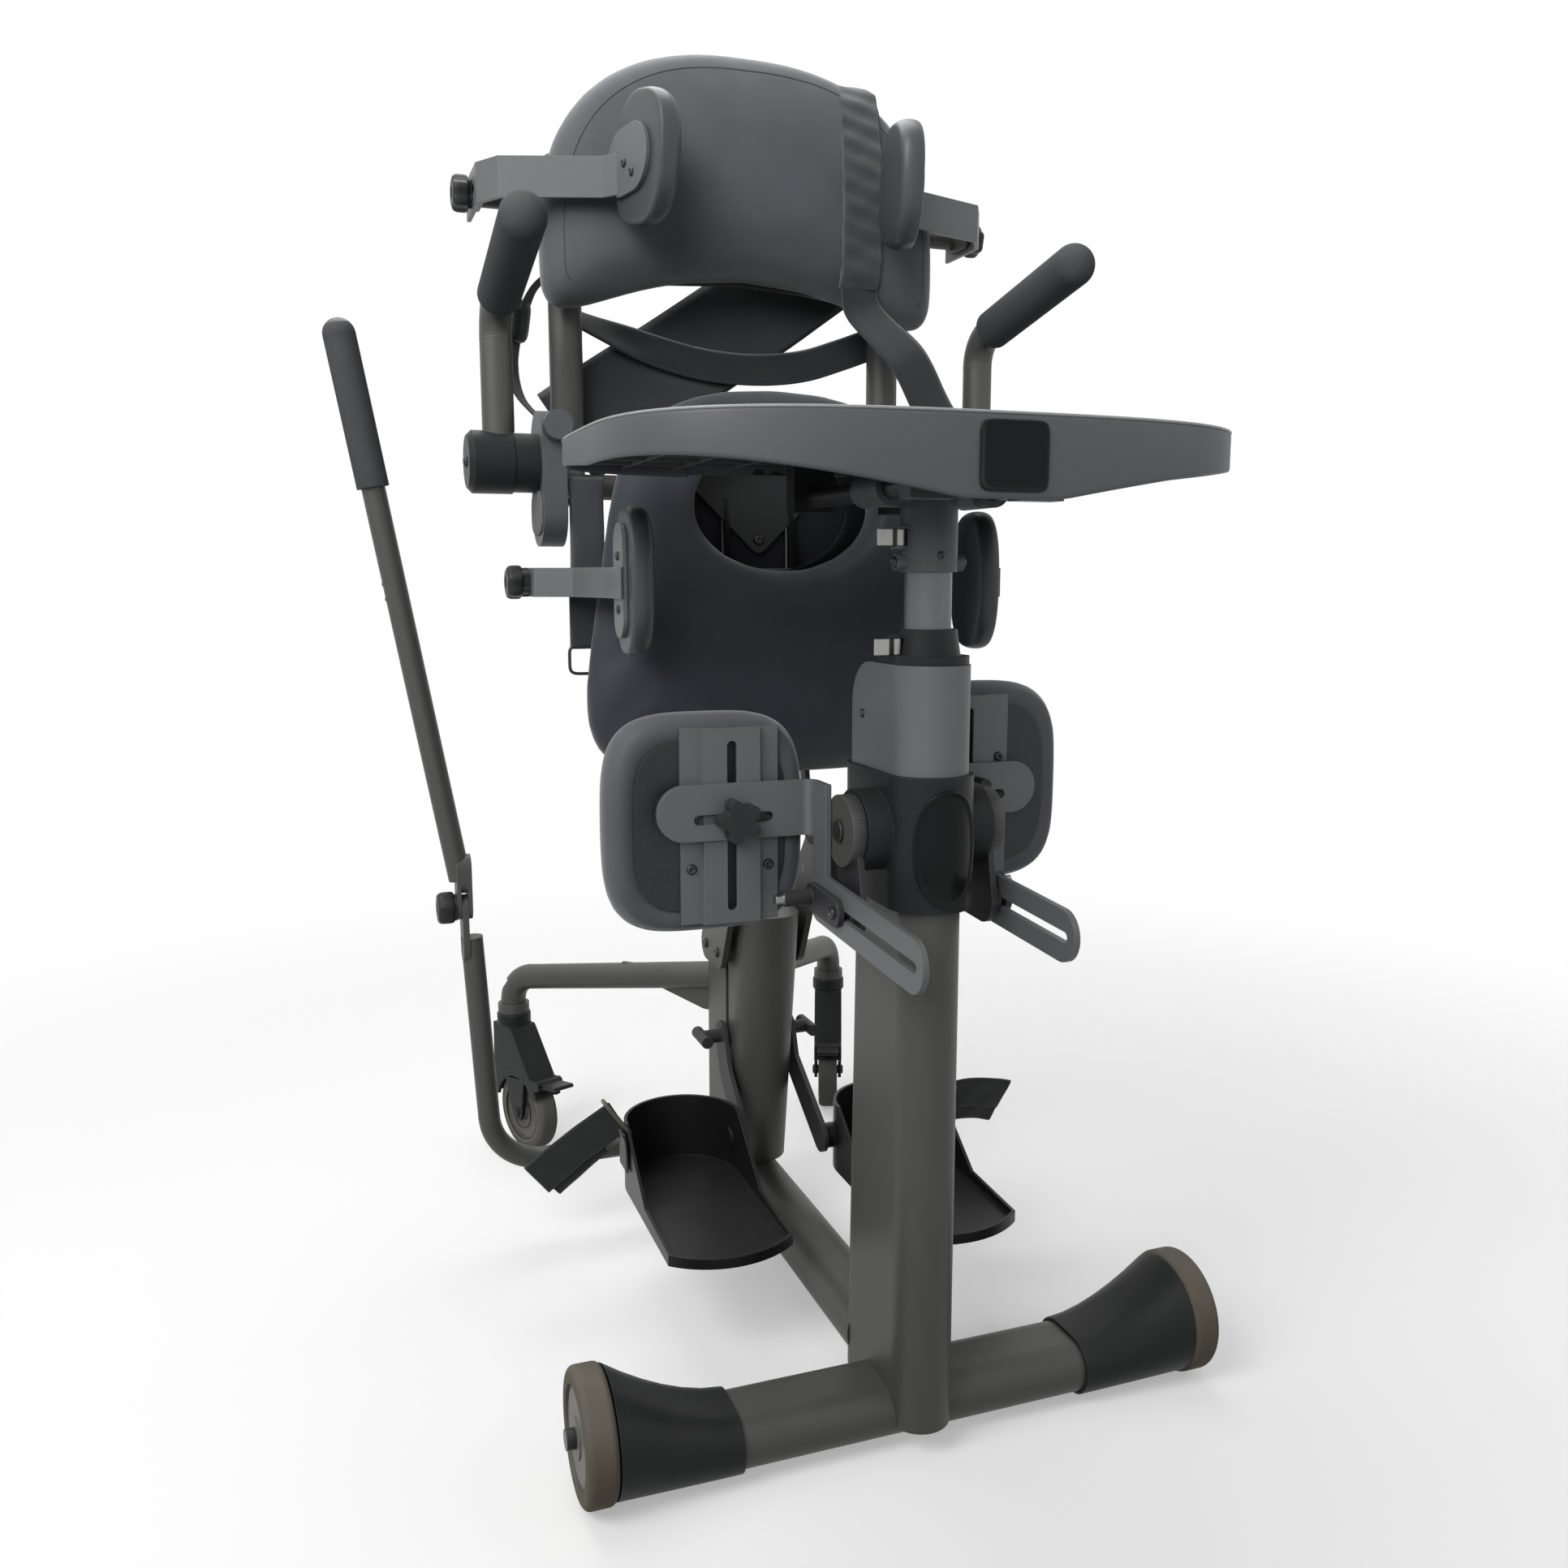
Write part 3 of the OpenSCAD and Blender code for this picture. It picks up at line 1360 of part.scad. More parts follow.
module arm_handle(s) {
    bend_at = [arm_x, back_pivot_y, back_pivot_z + arm_rise];
    along = [-arm_toe_in, -arm_reach, grip_rise] / norm([arm_toe_in, arm_reach, grip_rise]);
    tip = bend_at + (norm([arm_toe_in, arm_reach, grip_rise]) - grip_r) * along;
    grip_from = bend_at + arm_bend * along;
    sided(s) {
        color("dimgray") difference() {
            union() {
                pin_x(back_pivot, hub_x0, hub_x1 - hub_edge, hub_cap_d / 2);
                translate([hub_x1 - hub_edge, back_pivot_y, back_pivot_z]) rotate([0, 90, 0])
                    cylinder(r1 = hub_cap_d / 2, r2 = hub_cap_d / 2 - hub_edge, h = hub_edge);
                pipe([[arm_x, back_pivot_y, back_pivot_z], bend_at, tip], arm_bend, arm_r);
            }
            pin_x(back_pivot, hub_x0 - overrun, hub_x0 + hub_pin_len + seat_gap, hub_pin_r + run_gap);
            pin_x(back_pivot, dial_x1, hub_x0, dial_ring_r + arm_clear);
        }
        color("black") grip(grip_from, tip, grip_r, arm_r + piece_gap);
    }
}

// Foot plates

module foot_arm(s, fore) {
    stud = [foot_slot_y, foot_stud_z];
    hinge = foot_hinge - [fore, 0];
    wall_x = column_r - tube_wall - seat_gap;
    knob_x = foot_arm_x + plate_t + foot_knob_len;
    sided(s) color("black") {
        side_plate(foot_arm_x, plate_t) chain2d([stud, foot_elbow, hinge], foot_hinge_r);
        pin_x(stud, wall_x - nut_t, knob_x, foot_slot_w / 2 - seat_gap);
        pin_x(stud, wall_x - nut_t, wall_x, knob_lobe_r + nut_t);
        pin_x(stud, column_r + seat_gap, foot_arm_x + plate_t / 2, clamp_plate_r);
        pin_x(stud, foot_arm_x, knob_x, foot_knob_r);
        translate([knob_x, stud[0], stud[1]]) rotate([90, 0, 0])
            cylinder(r = foot_knob_r - wheel_gap, h = 2 * foot_knob_len, center = true);
        pin_x(hinge, foot_arm_x, foot_x + foot_wall, foot_pin_r);
    }
}

module foot_outline(inset) {
    half = foot_half - inset;
    heel_mid = heel_y - foot_half;
    toe_mid = heel_y - foot_len + toe_r;
    translate([foot_mid_x, 0]) {
        translate([0, heel_mid]) circle(half);
        translate([-half, toe_mid]) square([2 * half, heel_mid - toe_mid]);
        intersection() {
            translate([0, toe_mid]) circle(toe_r - inset);
            translate([-half, toe_mid - toe_r]) square([2 * half, toe_r]);
        }
    }
}

module foot_plate(s, fore) {
    base_z = foot_z - plate_t;
    toe_y = heel_y - foot_len;
    boss_x = foot_arm_x + plate_t + seat_gap;
    sided(s) translate([0, -fore, 0]) color("dimgray") difference() {
        union() {
            translate([0, 0, base_z]) linear_extrude(plate_t) foot_outline(0);
            intersection() {
                translate([0, 0, base_z]) linear_extrude(plate_t + heel_h) difference() {
                    foot_outline(0);
                    foot_outline(foot_wall);
                }
                side_plate(foot_x - overrun, foot_w + 2 * overrun) polygon([
                    [toe_y - overrun, base_z], [toe_y - overrun, foot_z + plate_t],
                    [heel_y - 2 * foot_half - 3 * plate_t, foot_z + 2 * plate_t],
                    [heel_y - foot_half, foot_z + heel_h], [heel_y + overrun, foot_z + heel_h],
                    [heel_y + overrun, base_z]]);
            }
            pin_x(foot_hinge, boss_x, foot_x + 2 * foot_wall, foot_boss_r);
        }
        pin_x(foot_hinge, boss_x - overrun, foot_x + foot_wall + seat_gap, foot_pin_r + run_gap);
    }
}

module foot_strap(s, fore) {
    rim_x = foot_x + foot_w + foot_strap_t / 2 + seat_gap;
    rim_z = foot_z + heel_h;
    mid_y = heel_y - foot_half;
    path_shares = [[0, -0.6], [0, 0], [0.5, 0.25], [1.2, -0.1], [1.8, -0.8], [2, -1.5]];
    sided(s) translate([0, -fore, 0]) {
        color("black") front_plate(mid_y - foot_strap_w / 2, foot_strap_w)
            chain2d([for (p = path_shares) [rim_x + p[0] * foot_strap_w, rim_z + p[1] * foot_strap_w]],
                foot_strap_t / 2);
        color("silver") translate([rim_x + foot_strap_w / 2, mid_y, rim_z + foot_strap_w / 4])
            rotate([90, 0, 0]) rotate_extrude($fn = soft_fn) translate([4 * foot_ring_r, 0])
                circle(foot_ring_r, $fn = 16);
    }
}

// Rear legs and casters

module rear_legs() {
    run = [stem_x - leg_start_x, stem_y - column_back_y, -leg_fall];
    start = [leg_start_x, column_back_y, leg_z];
    path = [start, start + run, [stem_x, stem_y, leg_end_z]];
    color("dimgray") both_sides() {
        difference() {
            union() {
                pipe(path, leg_bend, leg_r);
                translate([stem_x, stem_y, leg_end_z]) cylinder(r = leg_cup_r, h = leg_cup_h);
                translate(start) rotate([90, 0, atan2(run[1], run[0])]) translate([0, 0, -gusset_t / 2])
                    linear_extrude(gusset_t)
                    polygon([[0, 0], [0, -leg_r - gusset_h], [column_r + gusset_t, -leg_r - gusset_h],
                        [column_r + gusset_len, -leg_r], [column_r + gusset_len, -leg_r / 2]]);
            }
            pipe([start, start + run, [stem_x, stem_y, leg_end_z + stem_len + stem_r]], leg_bend - seat_gap,
                leg_r - tube_wall);
            column_body(column_r, column_foot_z, column_top_z);
            translate([stem_x, stem_y, leg_end_z - overrun])
                cylinder(r = stem_r + run_gap, h = stem_len + 2 * overrun);
        }
    }
}

// Puts a caster piece, drawn about its stem axis with its wheel ahead of it, on its leg
module on_stem(s) {
    sided(s) translate([stem_x, stem_y, 0]) rotate([0, 0, -caster_yaw]) children();
}

module caster_fork(s) {
    slot_half = caster_w / 2 + caster_gap / 2;
    hub = [-trail, caster_r];
    disc_z = leg_end_z - seat_gap - head_disc_h;
    on_stem(s) color("black") {
        difference() {
            union() {
                side_plate(-hood_half, 2 * hood_half) {
                    difference() {
                        translate(hub) circle(hood_r);
                        translate([hub[0] - 2 * hood_r, hood_low_z - 2 * hood_r])
                            square([4 * hood_r, 2 * hood_r]);
                    }
                    polygon([hub + hood_r * [-0.75, 0.65], [-head_disc_r, disc_z], [head_disc_r, disc_z],
                        [head_disc_r, disc_z - head_disc_h], hub + hood_r * [0.95, 0.3]]);
                }
                translate([0, 0, disc_z]) cylinder(r = head_disc_r, h = head_disc_h);
                translate([0, 0, disc_z]) cylinder(r = stem_r, h = head_disc_h + seat_gap + stem_len);
                both_sides() side_plate(pedal_w / 2 + seat_gap, pedal_ear_t)
                    bar2d([pedal_y + 2 * hood_half / 3, pedal_z - pedal_t], [pedal_y, pedal_z],
                        2 * pedal_pin_r);
            }
            pin_x(hub, -slot_half, slot_half, caster_r + caster_gap);
            translate([-slot_half, hub[0] - caster_r - caster_gap, -overrun])
                cube([2 * slot_half, 2 * (caster_r + caster_gap), caster_r + overrun]);
            pin_x([pedal_y, pedal_z], -pedal_w, pedal_w, pedal_pin_r + run_gap);
        }
        pin_x(hub, -hood_half, hood_half, caster_axle_r);
    }
}

module caster_wheel(s) {
    inner = caster_r - caster_tyre_t;
    on_stem(s) translate([-caster_w / 2, -trail, caster_r]) rotate([0, 90, 0]) {
        color("gray") rotate_extrude() {
            translate([inner + piece_gap, 0]) square([caster_tyre_t - piece_gap - tyre_round, caster_w]);
            translate([inner + piece_gap, tyre_round])
                square([caster_tyre_t - piece_gap, caster_w - 2 * tyre_round]);
            for (y = [tyre_round, caster_w - tyre_round]) translate([caster_r - tyre_round, y])
                intersection() {
                    circle(tyre_round);
                    translate([0, -tyre_round]) square([tyre_round, 2 * tyre_round]);
                }
        }
        color("darkslategray") difference() {
            cylinder(r = inner, h = caster_w);
            translate([0, 0, -overrun]) cylinder(r = caster_axle_r + run_gap, h = caster_w + 2 * overrun);
            for (z = [-overrun, caster_w - hub_dome]) translate([0, 0, z]) difference() {
                cylinder(r = inner - hub_dome, h = hub_dome + overrun);
                cylinder(r = 3 * caster_axle_r, h = hub_dome + overrun);
            }
        }
    }
}

module brake_pedal(s) {
    hinge = [pedal_y, pedal_z];
    on_stem(s) color("black") {
        side_plate(-pedal_w / 2, pedal_w) {
            bar2d(hinge, hinge + [-pedal_len, pedal_t], pedal_t / 2);
            translate(hinge) circle(2 * pedal_pin_r);
        }
        pin_x(hinge, -pedal_w / 2 - pedal_ear_t, pedal_w / 2 + pedal_ear_t, pedal_pin_r);
    }
}

// Pump lever

module pump_lever() {
    fold = [pump_y, fold_z];
    color("gray") difference() {
        union() {
            pipe([[-pump_in, pump_y, pump_z], [-pump_x, pump_y, pump_z],
                [tongue_t - fold_x, pump_y, pump_top_z]], pump_bend, pump_r);
            side_plate(-fold_x - tongue_t / 2, tongue_t)
                bar2d([pump_y, pump_top_z - tongue_r], fold, tongue_r);
        }
        pin_x(fold, -fold_x - tongue_t, -fold_x + tongue_t, fold_pin_r + run_gap);
    }
}

module pump_handle() {
    fold = [pump_y, fold_z];
    cheek_x = tongue_t / 2 + seat_gap;
    foot = [-fold_x - tongue_t / 2, pump_y, handle_foot_z];
    top = [-handle_x, pump_y, handle_z];
    along = (top - foot) / norm(top - foot);
    tube_end = top - handle_grip_r * along;
    grip_from = top - handle_grip_len * along;
    color("gray") {
        for (x = [-cheek_x - fork_t, cheek_x]) side_plate(x - fold_x, fork_t)
            bar2d(fold, [pump_y, handle_foot_z + tongue_r], tongue_r);
        side_plate(-fold_x - cheek_x - fork_t, 2 * cheek_x + 2 * fork_t)
            bar2d([pump_y, fold_z + 2 * tongue_r + overrun], [pump_y, handle_foot_z + tongue_r], tongue_r);
        pin_x(fold, -fold_x - cheek_x - fork_t - fold_knob_t, -fold_x + cheek_x + fork_t, fold_pin_r);
        rod(foot, tube_end, pump_r);
    }
    color("black") pin_x(fold, -fold_x - cheek_x - fork_t - fold_knob_t, -fold_x - cheek_x - fork_t,
        fold_knob_r);
    color("black") grip(grip_from, tube_end, handle_grip_r, pump_r + piece_gap);
}

// Straps

module chest_straps() {
    face_y = back_pad_y - back_t - back_crown;
    belt_y = back_tube_y + back_tube_r + seat_gap;
    high_z = back_z + back_up;
    low_z = back_z - back_down;
    tail_y = face_y - 2 * chest_t;
    color("black") {
        side_plate(chest_x, chest_w) chain2d([[face_y - chest_t, high_z - 4 * chest_t],
            [face_y - seat_gap - chest_t / 2, back_z], [tail_y, low_z + chest_w]], chest_t / 2);
        front_plate(tail_y - webbing_t / 2, webbing_t) chain2d([[chest_x + chest_w / 2, low_z + chest_w],
            [back_tube_x - tail_w / 2, low_z], [back_tube_x + tail_w / 2, low_z - 2 * tail_w]], tail_w / 2);
        front_plate(belt_y, webbing_t) chain2d([for (i = [-4 : 4])
            [back_tube_x * i / 4, low_z - webbing_sag * (1 - i * i / 16)]], webbing_w / 2);
        front_plate(belt_y + webbing_t + seat_gap, belt_t)
            bar2d([-back_tube_x + webbing_w, low_z - belt_w / 2],
                [back_tube_x - belt_w, low_z + 3 * belt_w / 2], belt_w / 2);
    }
}

module hip_belt() {
    mid_x = rail_x - hip_strap_w / 2 - 4 * strap_t;
    low_z = rail_z - 2 * hip_strap_w;
    belt_y = rail_y - seat_gap - webbing_t;
    both_sides() {
        color("black") front_plate(belt_y, webbing_t) translate([mid_x - hip_strap_w / 2, low_z])
            square([hip_strap_w, rail_z + rail_h / 2 - low_z]);
        color("silver") translate([mid_x, belt_y + webbing_t / 2, low_z - hip_strap_w / 3]) rotate([90, 0, 0])
            rotate_extrude($fn = soft_fn) translate([hip_strap_w / 2 - hip_ring_r, 0])
                circle(hip_ring_r, $fn = 16);
    }
}

front_cross_tube();
base_beam();
front_mast();
rear_column();
rear_legs();
wheel_fairings();
frame_pins();
knee_housing();
mast_sleeve();
hydraulic_pump();
lift_cylinder();
lift_rod();
front_wheel(1);  // front_wheel_left
front_wheel(-1);  // front_wheel_right
caster_fork(1);  // caster_fork_left
caster_fork(-1);  // caster_fork_right
caster_wheel(1);  // caster_wheel_left
caster_wheel(-1);  // caster_wheel_right
brake_pedal(1);  // brake_pedal_left
brake_pedal(-1);  // brake_pedal_right
mast_tube();
tray_head();
tray();
mast_lever();
tray_lever();
knee_arm(1);  // knee_arm_left
knee_arm(-1);  // knee_arm_right
knee_bracket(1, knee_set_left, knee_in_left);  // knee_bracket_left
knee_bracket(-1, knee_set_right, knee_in_right);  // knee_bracket_right
knee_knob(1, knee_set_left, knee_in_left);  // knee_knob_left
knee_knob(-1, knee_set_right, knee_in_right);  // knee_knob_right
knee_plate(1, knee_set_left, knee_in_left, knee_raise_left);  // knee_plate_left
knee_plate(-1, knee_set_right, knee_in_right, knee_raise_right);  // knee_plate_right
knee_pad(1, knee_set_left, knee_in_left, knee_raise_left);  // knee_pad_left
knee_pad(-1, knee_set_right, knee_in_right, knee_raise_right);  // knee_pad_right
seat_frame();
seat_pad();
back_links();
back_frame();
back_pad();
arm_handle(1);  // arm_handle_left
arm_handle(-1);  // arm_handle_right
lateral_bracket(1);  // lateral_bracket_left
lateral_bracket(-1);  // lateral_bracket_right
lateral_pad(1);  // lateral_pad_left
lateral_pad(-1);  // lateral_pad_right
hip_bracket(1);  // hip_bracket_left
hip_bracket(-1);  // hip_bracket_right
hip_pad(1);  // hip_pad_left
hip_pad(-1);  // hip_pad_right
foot_arm(1, foot_fore_left);  // foot_arm_left
foot_arm(-1, foot_fore_right);  // foot_arm_right
foot_plate(1, foot_fore_left);  // foot_plate_left
foot_plate(-1, foot_fore_right);  // foot_plate_right
foot_strap(1, foot_fore_left);  // foot_strap_left
foot_strap(-1, foot_fore_right);  // foot_strap_right
pump_lever();
pump_handle();
chest_straps();
hip_belt();
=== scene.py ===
import math

import bmesh
import bpy
import numpy as np
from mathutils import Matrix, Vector
from mathutils.bvhtree import BVHTree


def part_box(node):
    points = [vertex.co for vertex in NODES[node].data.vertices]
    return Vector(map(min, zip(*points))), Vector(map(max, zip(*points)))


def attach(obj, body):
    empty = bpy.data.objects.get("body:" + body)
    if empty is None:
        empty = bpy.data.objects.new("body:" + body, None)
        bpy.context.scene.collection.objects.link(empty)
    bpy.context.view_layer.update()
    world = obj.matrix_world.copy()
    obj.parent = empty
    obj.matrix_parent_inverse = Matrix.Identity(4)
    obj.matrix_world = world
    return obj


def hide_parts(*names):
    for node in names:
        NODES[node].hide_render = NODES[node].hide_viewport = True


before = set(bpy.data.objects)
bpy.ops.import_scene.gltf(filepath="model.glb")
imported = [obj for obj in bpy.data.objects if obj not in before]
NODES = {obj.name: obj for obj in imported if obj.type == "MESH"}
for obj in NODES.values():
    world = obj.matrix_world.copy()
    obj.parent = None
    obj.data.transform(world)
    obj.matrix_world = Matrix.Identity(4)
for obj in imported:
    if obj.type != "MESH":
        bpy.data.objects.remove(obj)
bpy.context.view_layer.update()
SIDES = (("left", 1), ("right", -1))
MM = 0.001
X_AXIS = Vector((1, 0, 0))
Y_AXIS = Vector((0, 1, 0))
Z_AXIS = Vector((0, 0, 1))

# Places and sizes that the dressed pieces share with the frame, in metres
WHEEL_R = 0.0655
HUB_R = 0.0493
CASTER_R = 0.0615
CASTER_HUB_R = 0.0486
CASTER_AXLE = Vector((0.2518, 0.8448, CASTER_R))
CASTER_YAW = math.radians(22)
KNEE_PIVOT = Vector((0, -0.005, 0.644))
KNEE_CAP_X = (0.0722, 0.0808)
KNEE_CAP_R = 0.0355
PLUNGER_X = 0.1234
KNEE_POWER = 3.8
BOARD_STEP = 0.0115
SLEEVE_TOP = 0.8045
ROD_X = 0.052
ROD_Z = 0.965
ROD_R = 0.0104
BEARER_HALF = 0.024
BEARER_Y = 0.130
BEARER_TOP = 1.003
HANDLE_TOP = Vector((-0.498, 0.530, 1.184))
HANDLE_FOOT = Vector((-0.380, 0.530, 0.506))
HANDLE_GRIP = 0.202
HANDLE_R = 0.0145
FOLD_KNOB = Vector((-0.3905, 0.530, 0.470))
FOLD_FACE_X = -0.3852
FOLD_TOP = 0.490
SPIDER_Y = (0.4645, 0.472)
SPIDER_HALF = 0.106
SPIDER_LOW = 0.910
HANGER_X = (0.0395, 0.0465)
PAN_FRONT_Y = 0.4345
PAN_BACK_Y = 0.4413
LINER_Y = 0.4722
SEAT_STUD_X = 0.2944
HIP_KNOB = Vector((0.3045, 0.458, 0.879))
HIP_POWER = 2.6
SEAT_HALF = 0.220
SEAT_POWER = 5.0
SEAT_TAPER = 0.155
SEAT_TOP = 1.110
SEAT_DOME = 0.165
SEAT_HOLE = Vector((0.012, 0, 0.971))
SEAT_HOLE_HALF = (0.119, 0.080)
BACK_Z = 1.281
BACK_HALF = 0.261
BACK_UP = 0.242
BACK_DOWN = 0.103
BACK_ARCH = 0.082
BACK_POWERS = (2.5, 5.0)
BACK_STUD_X = 0.3334
DIAL_X = 0.2455
DIAL_FACE = 0.275
DIAL_TOP = 1.120
DIAL_FOOT = Vector((0, 0.490, 0.962))
DIAL_CAP_X = 0.307
LATERAL_KNOB = Vector((0.3385, 0.563, 1.343))
LATERAL_AT = Vector((0.172, 0.386, 1.354))
LATERAL_HALF = (0.063, 0.073)
LATERAL_THICK = 0.034
LATERAL_POWER = 2.6
LATERAL_TOE = math.radians(11)
LATERAL_LEAN = math.radians(12)
ARM_BEND = Vector((0.320, 0.490, 1.197))
ARM_WAY = Vector((0.003, -0.254, 0.056)).normalized()
ARM_R = 0.0195
ARM_GRIP = 0.040
ARM_TIP = 0.236
ARM_CAP_X = 0.3055
ARM_CAP_TOP = 1.0585
TRAY_MIDDLE = Vector((0, 0.050, 1.0188))
TRAY_HALF = (0.308, 0.231)
TRAY_POWERS = (4.6, 3.0)
BELLY_R = 0.320
BELLY_Y = 0.565
SKIRT_LOW = 0.0335
SKIRT_NOSE = 0.0695
SKIRT_SLOPE = (0.045, 1.35)
SKIRT_BACK = 0.025
SKIRT_RUN = 0.12
PAD_EDGE = 0.026


# Shader nodes, and the node groups that several finishes share

def feed(tree, made, links):
    """Fills a node's inputs; links are pairs of an input's name or number and a socket or value."""
    for key, value in links:
        if isinstance(value, bpy.types.NodeSocket):
            tree.links.new(value, made.inputs[key])
        else:
            made.inputs[key].default_value = value


def node(tree, kind, links=(), **settings):
    made = tree.nodes.new(kind)
    for key, value in settings.items():
        setattr(made, key, value)
    feed(tree, made, links)
    return made


def group_node(tree, group, links):
    return node(tree, "ShaderNodeGroup", links, node_tree=group)


def calc(tree, operation, a, b=0.0, clamp=False):
    return node(tree, "ShaderNodeMath", ((0, a), (1, b)), operation=operation, use_clamp=clamp).outputs[0]


def times(tree, a, b, clamp=False):
    return calc(tree, "MULTIPLY", a, b, clamp)


def plus(tree, a, b, clamp=False):
    return calc(tree, "ADD", a, b, clamp)


def mix_color(tree, share, a, b):
    return node(tree, "ShaderNodeMix", ((0, share), (6, a), (7, b)), data_type="RGBA").outputs[2]


def object_place(tree):
    return node(tree, "ShaderNodeTexCoord").outputs["Object"]


def noise(tree, scale, detail):
    links = (("Vector", object_place(tree)), ("Scale", scale), ("Detail", detail))
    return node(tree, "ShaderNodeTexNoise", links).outputs["Fac"]


def new_group(name, inputs, outputs):
    tree = bpy.data.node_groups.new(name, "ShaderNodeTree")
    for label, kind, value in inputs:
        socket = tree.interface.new_socket(label, in_out="INPUT", socket_type=kind)
        socket.default_value = value
    for label, kind in outputs:
        tree.interface.new_socket(label, in_out="OUTPUT", socket_type=kind)
    return tree, tree.nodes.new("NodeGroupInput").outputs, tree.nodes.new("NodeGroupOutput")


def soft_edge_group():
    """Rounds the look of sharp edges and marks them: out come a normal and an edge mask."""
    tree, given, leave = new_group("soft_edges", [("Radius", "NodeSocketFloat", 0.001)],
                                   [("Normal", "NodeSocketVector"), ("Edge", "NodeSocketFloat")])
    bevel = node(tree, "ShaderNodeBevel", (("Radius", given["Radius"]),), samples=4).outputs[0]
    true_normal = node(tree, "ShaderNodeNewGeometry").outputs["Normal"]
    dot = node(tree, "ShaderNodeVectorMath", ((0, bevel), (1, true_normal)), operation="DOT_PRODUCT")
    turned = calc(tree, "SUBTRACT", 1.0, dot.outputs["Value"])
    broken = times(tree, turned, noise(tree, 90.0, 4.0))
    feed(tree, leave, (("Normal", bevel), ("Edge", times(tree, broken, 9.0, True))))
    return tree


def speckle_group():
    """Fine grain of a powder coat or a textured moulding, with slow colour drift."""
    tree, given, leave = new_group(
        "speckle",
        [("Color", "NodeSocketColor", (0.1, 0.1, 0.1, 1)), ("Scale", "NodeSocketFloat", 900.0),
         ("Drift", "NodeSocketFloat", 0.2), ("Roughness", "NodeSocketFloat", 0.5)],
        [("Color", "NodeSocketColor"), ("Roughness", "NodeSocketFloat"), ("Height", "NodeSocketFloat")])
    fine = noise(tree, given["Scale"], 3.0)
    slow = noise(tree, 7.0, 3.0)
    both = plus(tree, times(tree, fine, 0.45), times(tree, slow, 0.55))
    swing = times(tree, calc(tree, "SUBTRACT", both, 0.5), given["Drift"])
    gain = plus(tree, 1.0, times(tree, swing, 2.0))
    shade = node(tree, "ShaderNodeVectorMath", ((0, given["Color"]), (1, gain)), operation="MULTIPLY")
    rough = plus(tree, given["Roughness"], times(tree, swing, 0.35), True)
    feed(tree, leave, (("Color", shade.outputs[0]), ("Roughness", rough), ("Height", fine)))
    return tree


def dust_group():
    """A thin broken film on faces that look up."""
    tree, given, leave = new_group(
        "dust", [("Color", "NodeSocketColor", (0.1, 0.1, 0.1, 1)), ("Amount", "NodeSocketFloat", 0.1)],
        [("Color", "NodeSocketColor")])
    normal = node(tree, "ShaderNodeTexCoord").outputs["Normal"]
    facing = node(tree, "ShaderNodeSeparateXYZ", ((0, normal),))
    up = times(tree, facing.outputs["Z"], given["Amount"], True)
    patchy = times(tree, up, noise(tree, 24.0, 5.0), True)
    feed(tree, leave, (("Color", mix_color(tree, patchy, given["Color"], (0.34, 0.33, 0.31, 1))),))
    return tree


def weave_group():
    """Cross ribs and edge stitches of webbing, laid along each strap by its lay attribute."""
    seam_inset, seam_half, stitch, gap = 0.0035, 0.0007, 0.0042, 0.32
    tree, given, leave = new_group(
        "weave", [("Rib", "NodeSocketFloat", 0.0012)],
        [("Height", "NodeSocketFloat"), ("Stitch", "NodeSocketFloat")])
    laid = node(tree, "ShaderNodeAttribute", attribute_name="lay").outputs["Vector"]
    lay = node(tree, "ShaderNodeSeparateXYZ", ((0, laid),)).outputs

    def wave(distance):
        turns = calc(tree, "DIVIDE", distance, given["Rib"])
        return calc(tree, "SINE", times(tree, turns, 2 * math.pi))

    height = times(tree, wave(lay["X"]), wave(lay["Y"]))
    off = calc(tree, "ABSOLUTE", calc(tree, "SUBTRACT", lay["Z"], seam_inset))
    near = calc(tree, "SUBTRACT", 1.0, calc(tree, "DIVIDE", off, seam_half), True)
    row = calc(tree, "FRACT", calc(tree, "DIVIDE", lay["X"], stitch))
    dash = calc(tree, "GREATER_THAN", row, gap)
    feed(tree, leave, (("Height", height), ("Stitch", times(tree, near, dash))))
    return tree


def skin_group():
    """Close grain of coated stretch upholstery, with faint pulls in the cloth."""
    tree, given, leave = new_group(
        "upholstery_skin", [("Scale", "NodeSocketFloat", 1300.0)],
        [("Height", "NodeSocketFloat"), ("Shade", "NodeSocketFloat")])
    cells = node(tree, "ShaderNodeTexVoronoi", (("Vector", object_place(tree)), ("Scale", given["Scale"])))
    pulls = noise(tree, 22.0, 4.0)
    grain = times(tree, cells.outputs["Distance"], 0.5)
    feed(tree, leave, (("Height", plus(tree, grain, times(tree, pulls, 0.6))), ("Shade", pulls)))
    return tree


SOFT_EDGES = soft_edge_group()
SPECKLE = speckle_group()
DUST = dust_group()
WEAVE = weave_group()
SKIN = skin_group()


# Finishes

def scaled(color, gain):
    return (*(gain * c for c in color), 1)


def blank_material(name, *links):
    """A new material, with values for its shader."""
    material = bpy.data.materials.new(name)
    material.use_nodes = True
    tree = material.node_tree
    shader = tree.nodes["Principled BSDF"]
    feed(tree, shader, links)
    return material, tree, shader


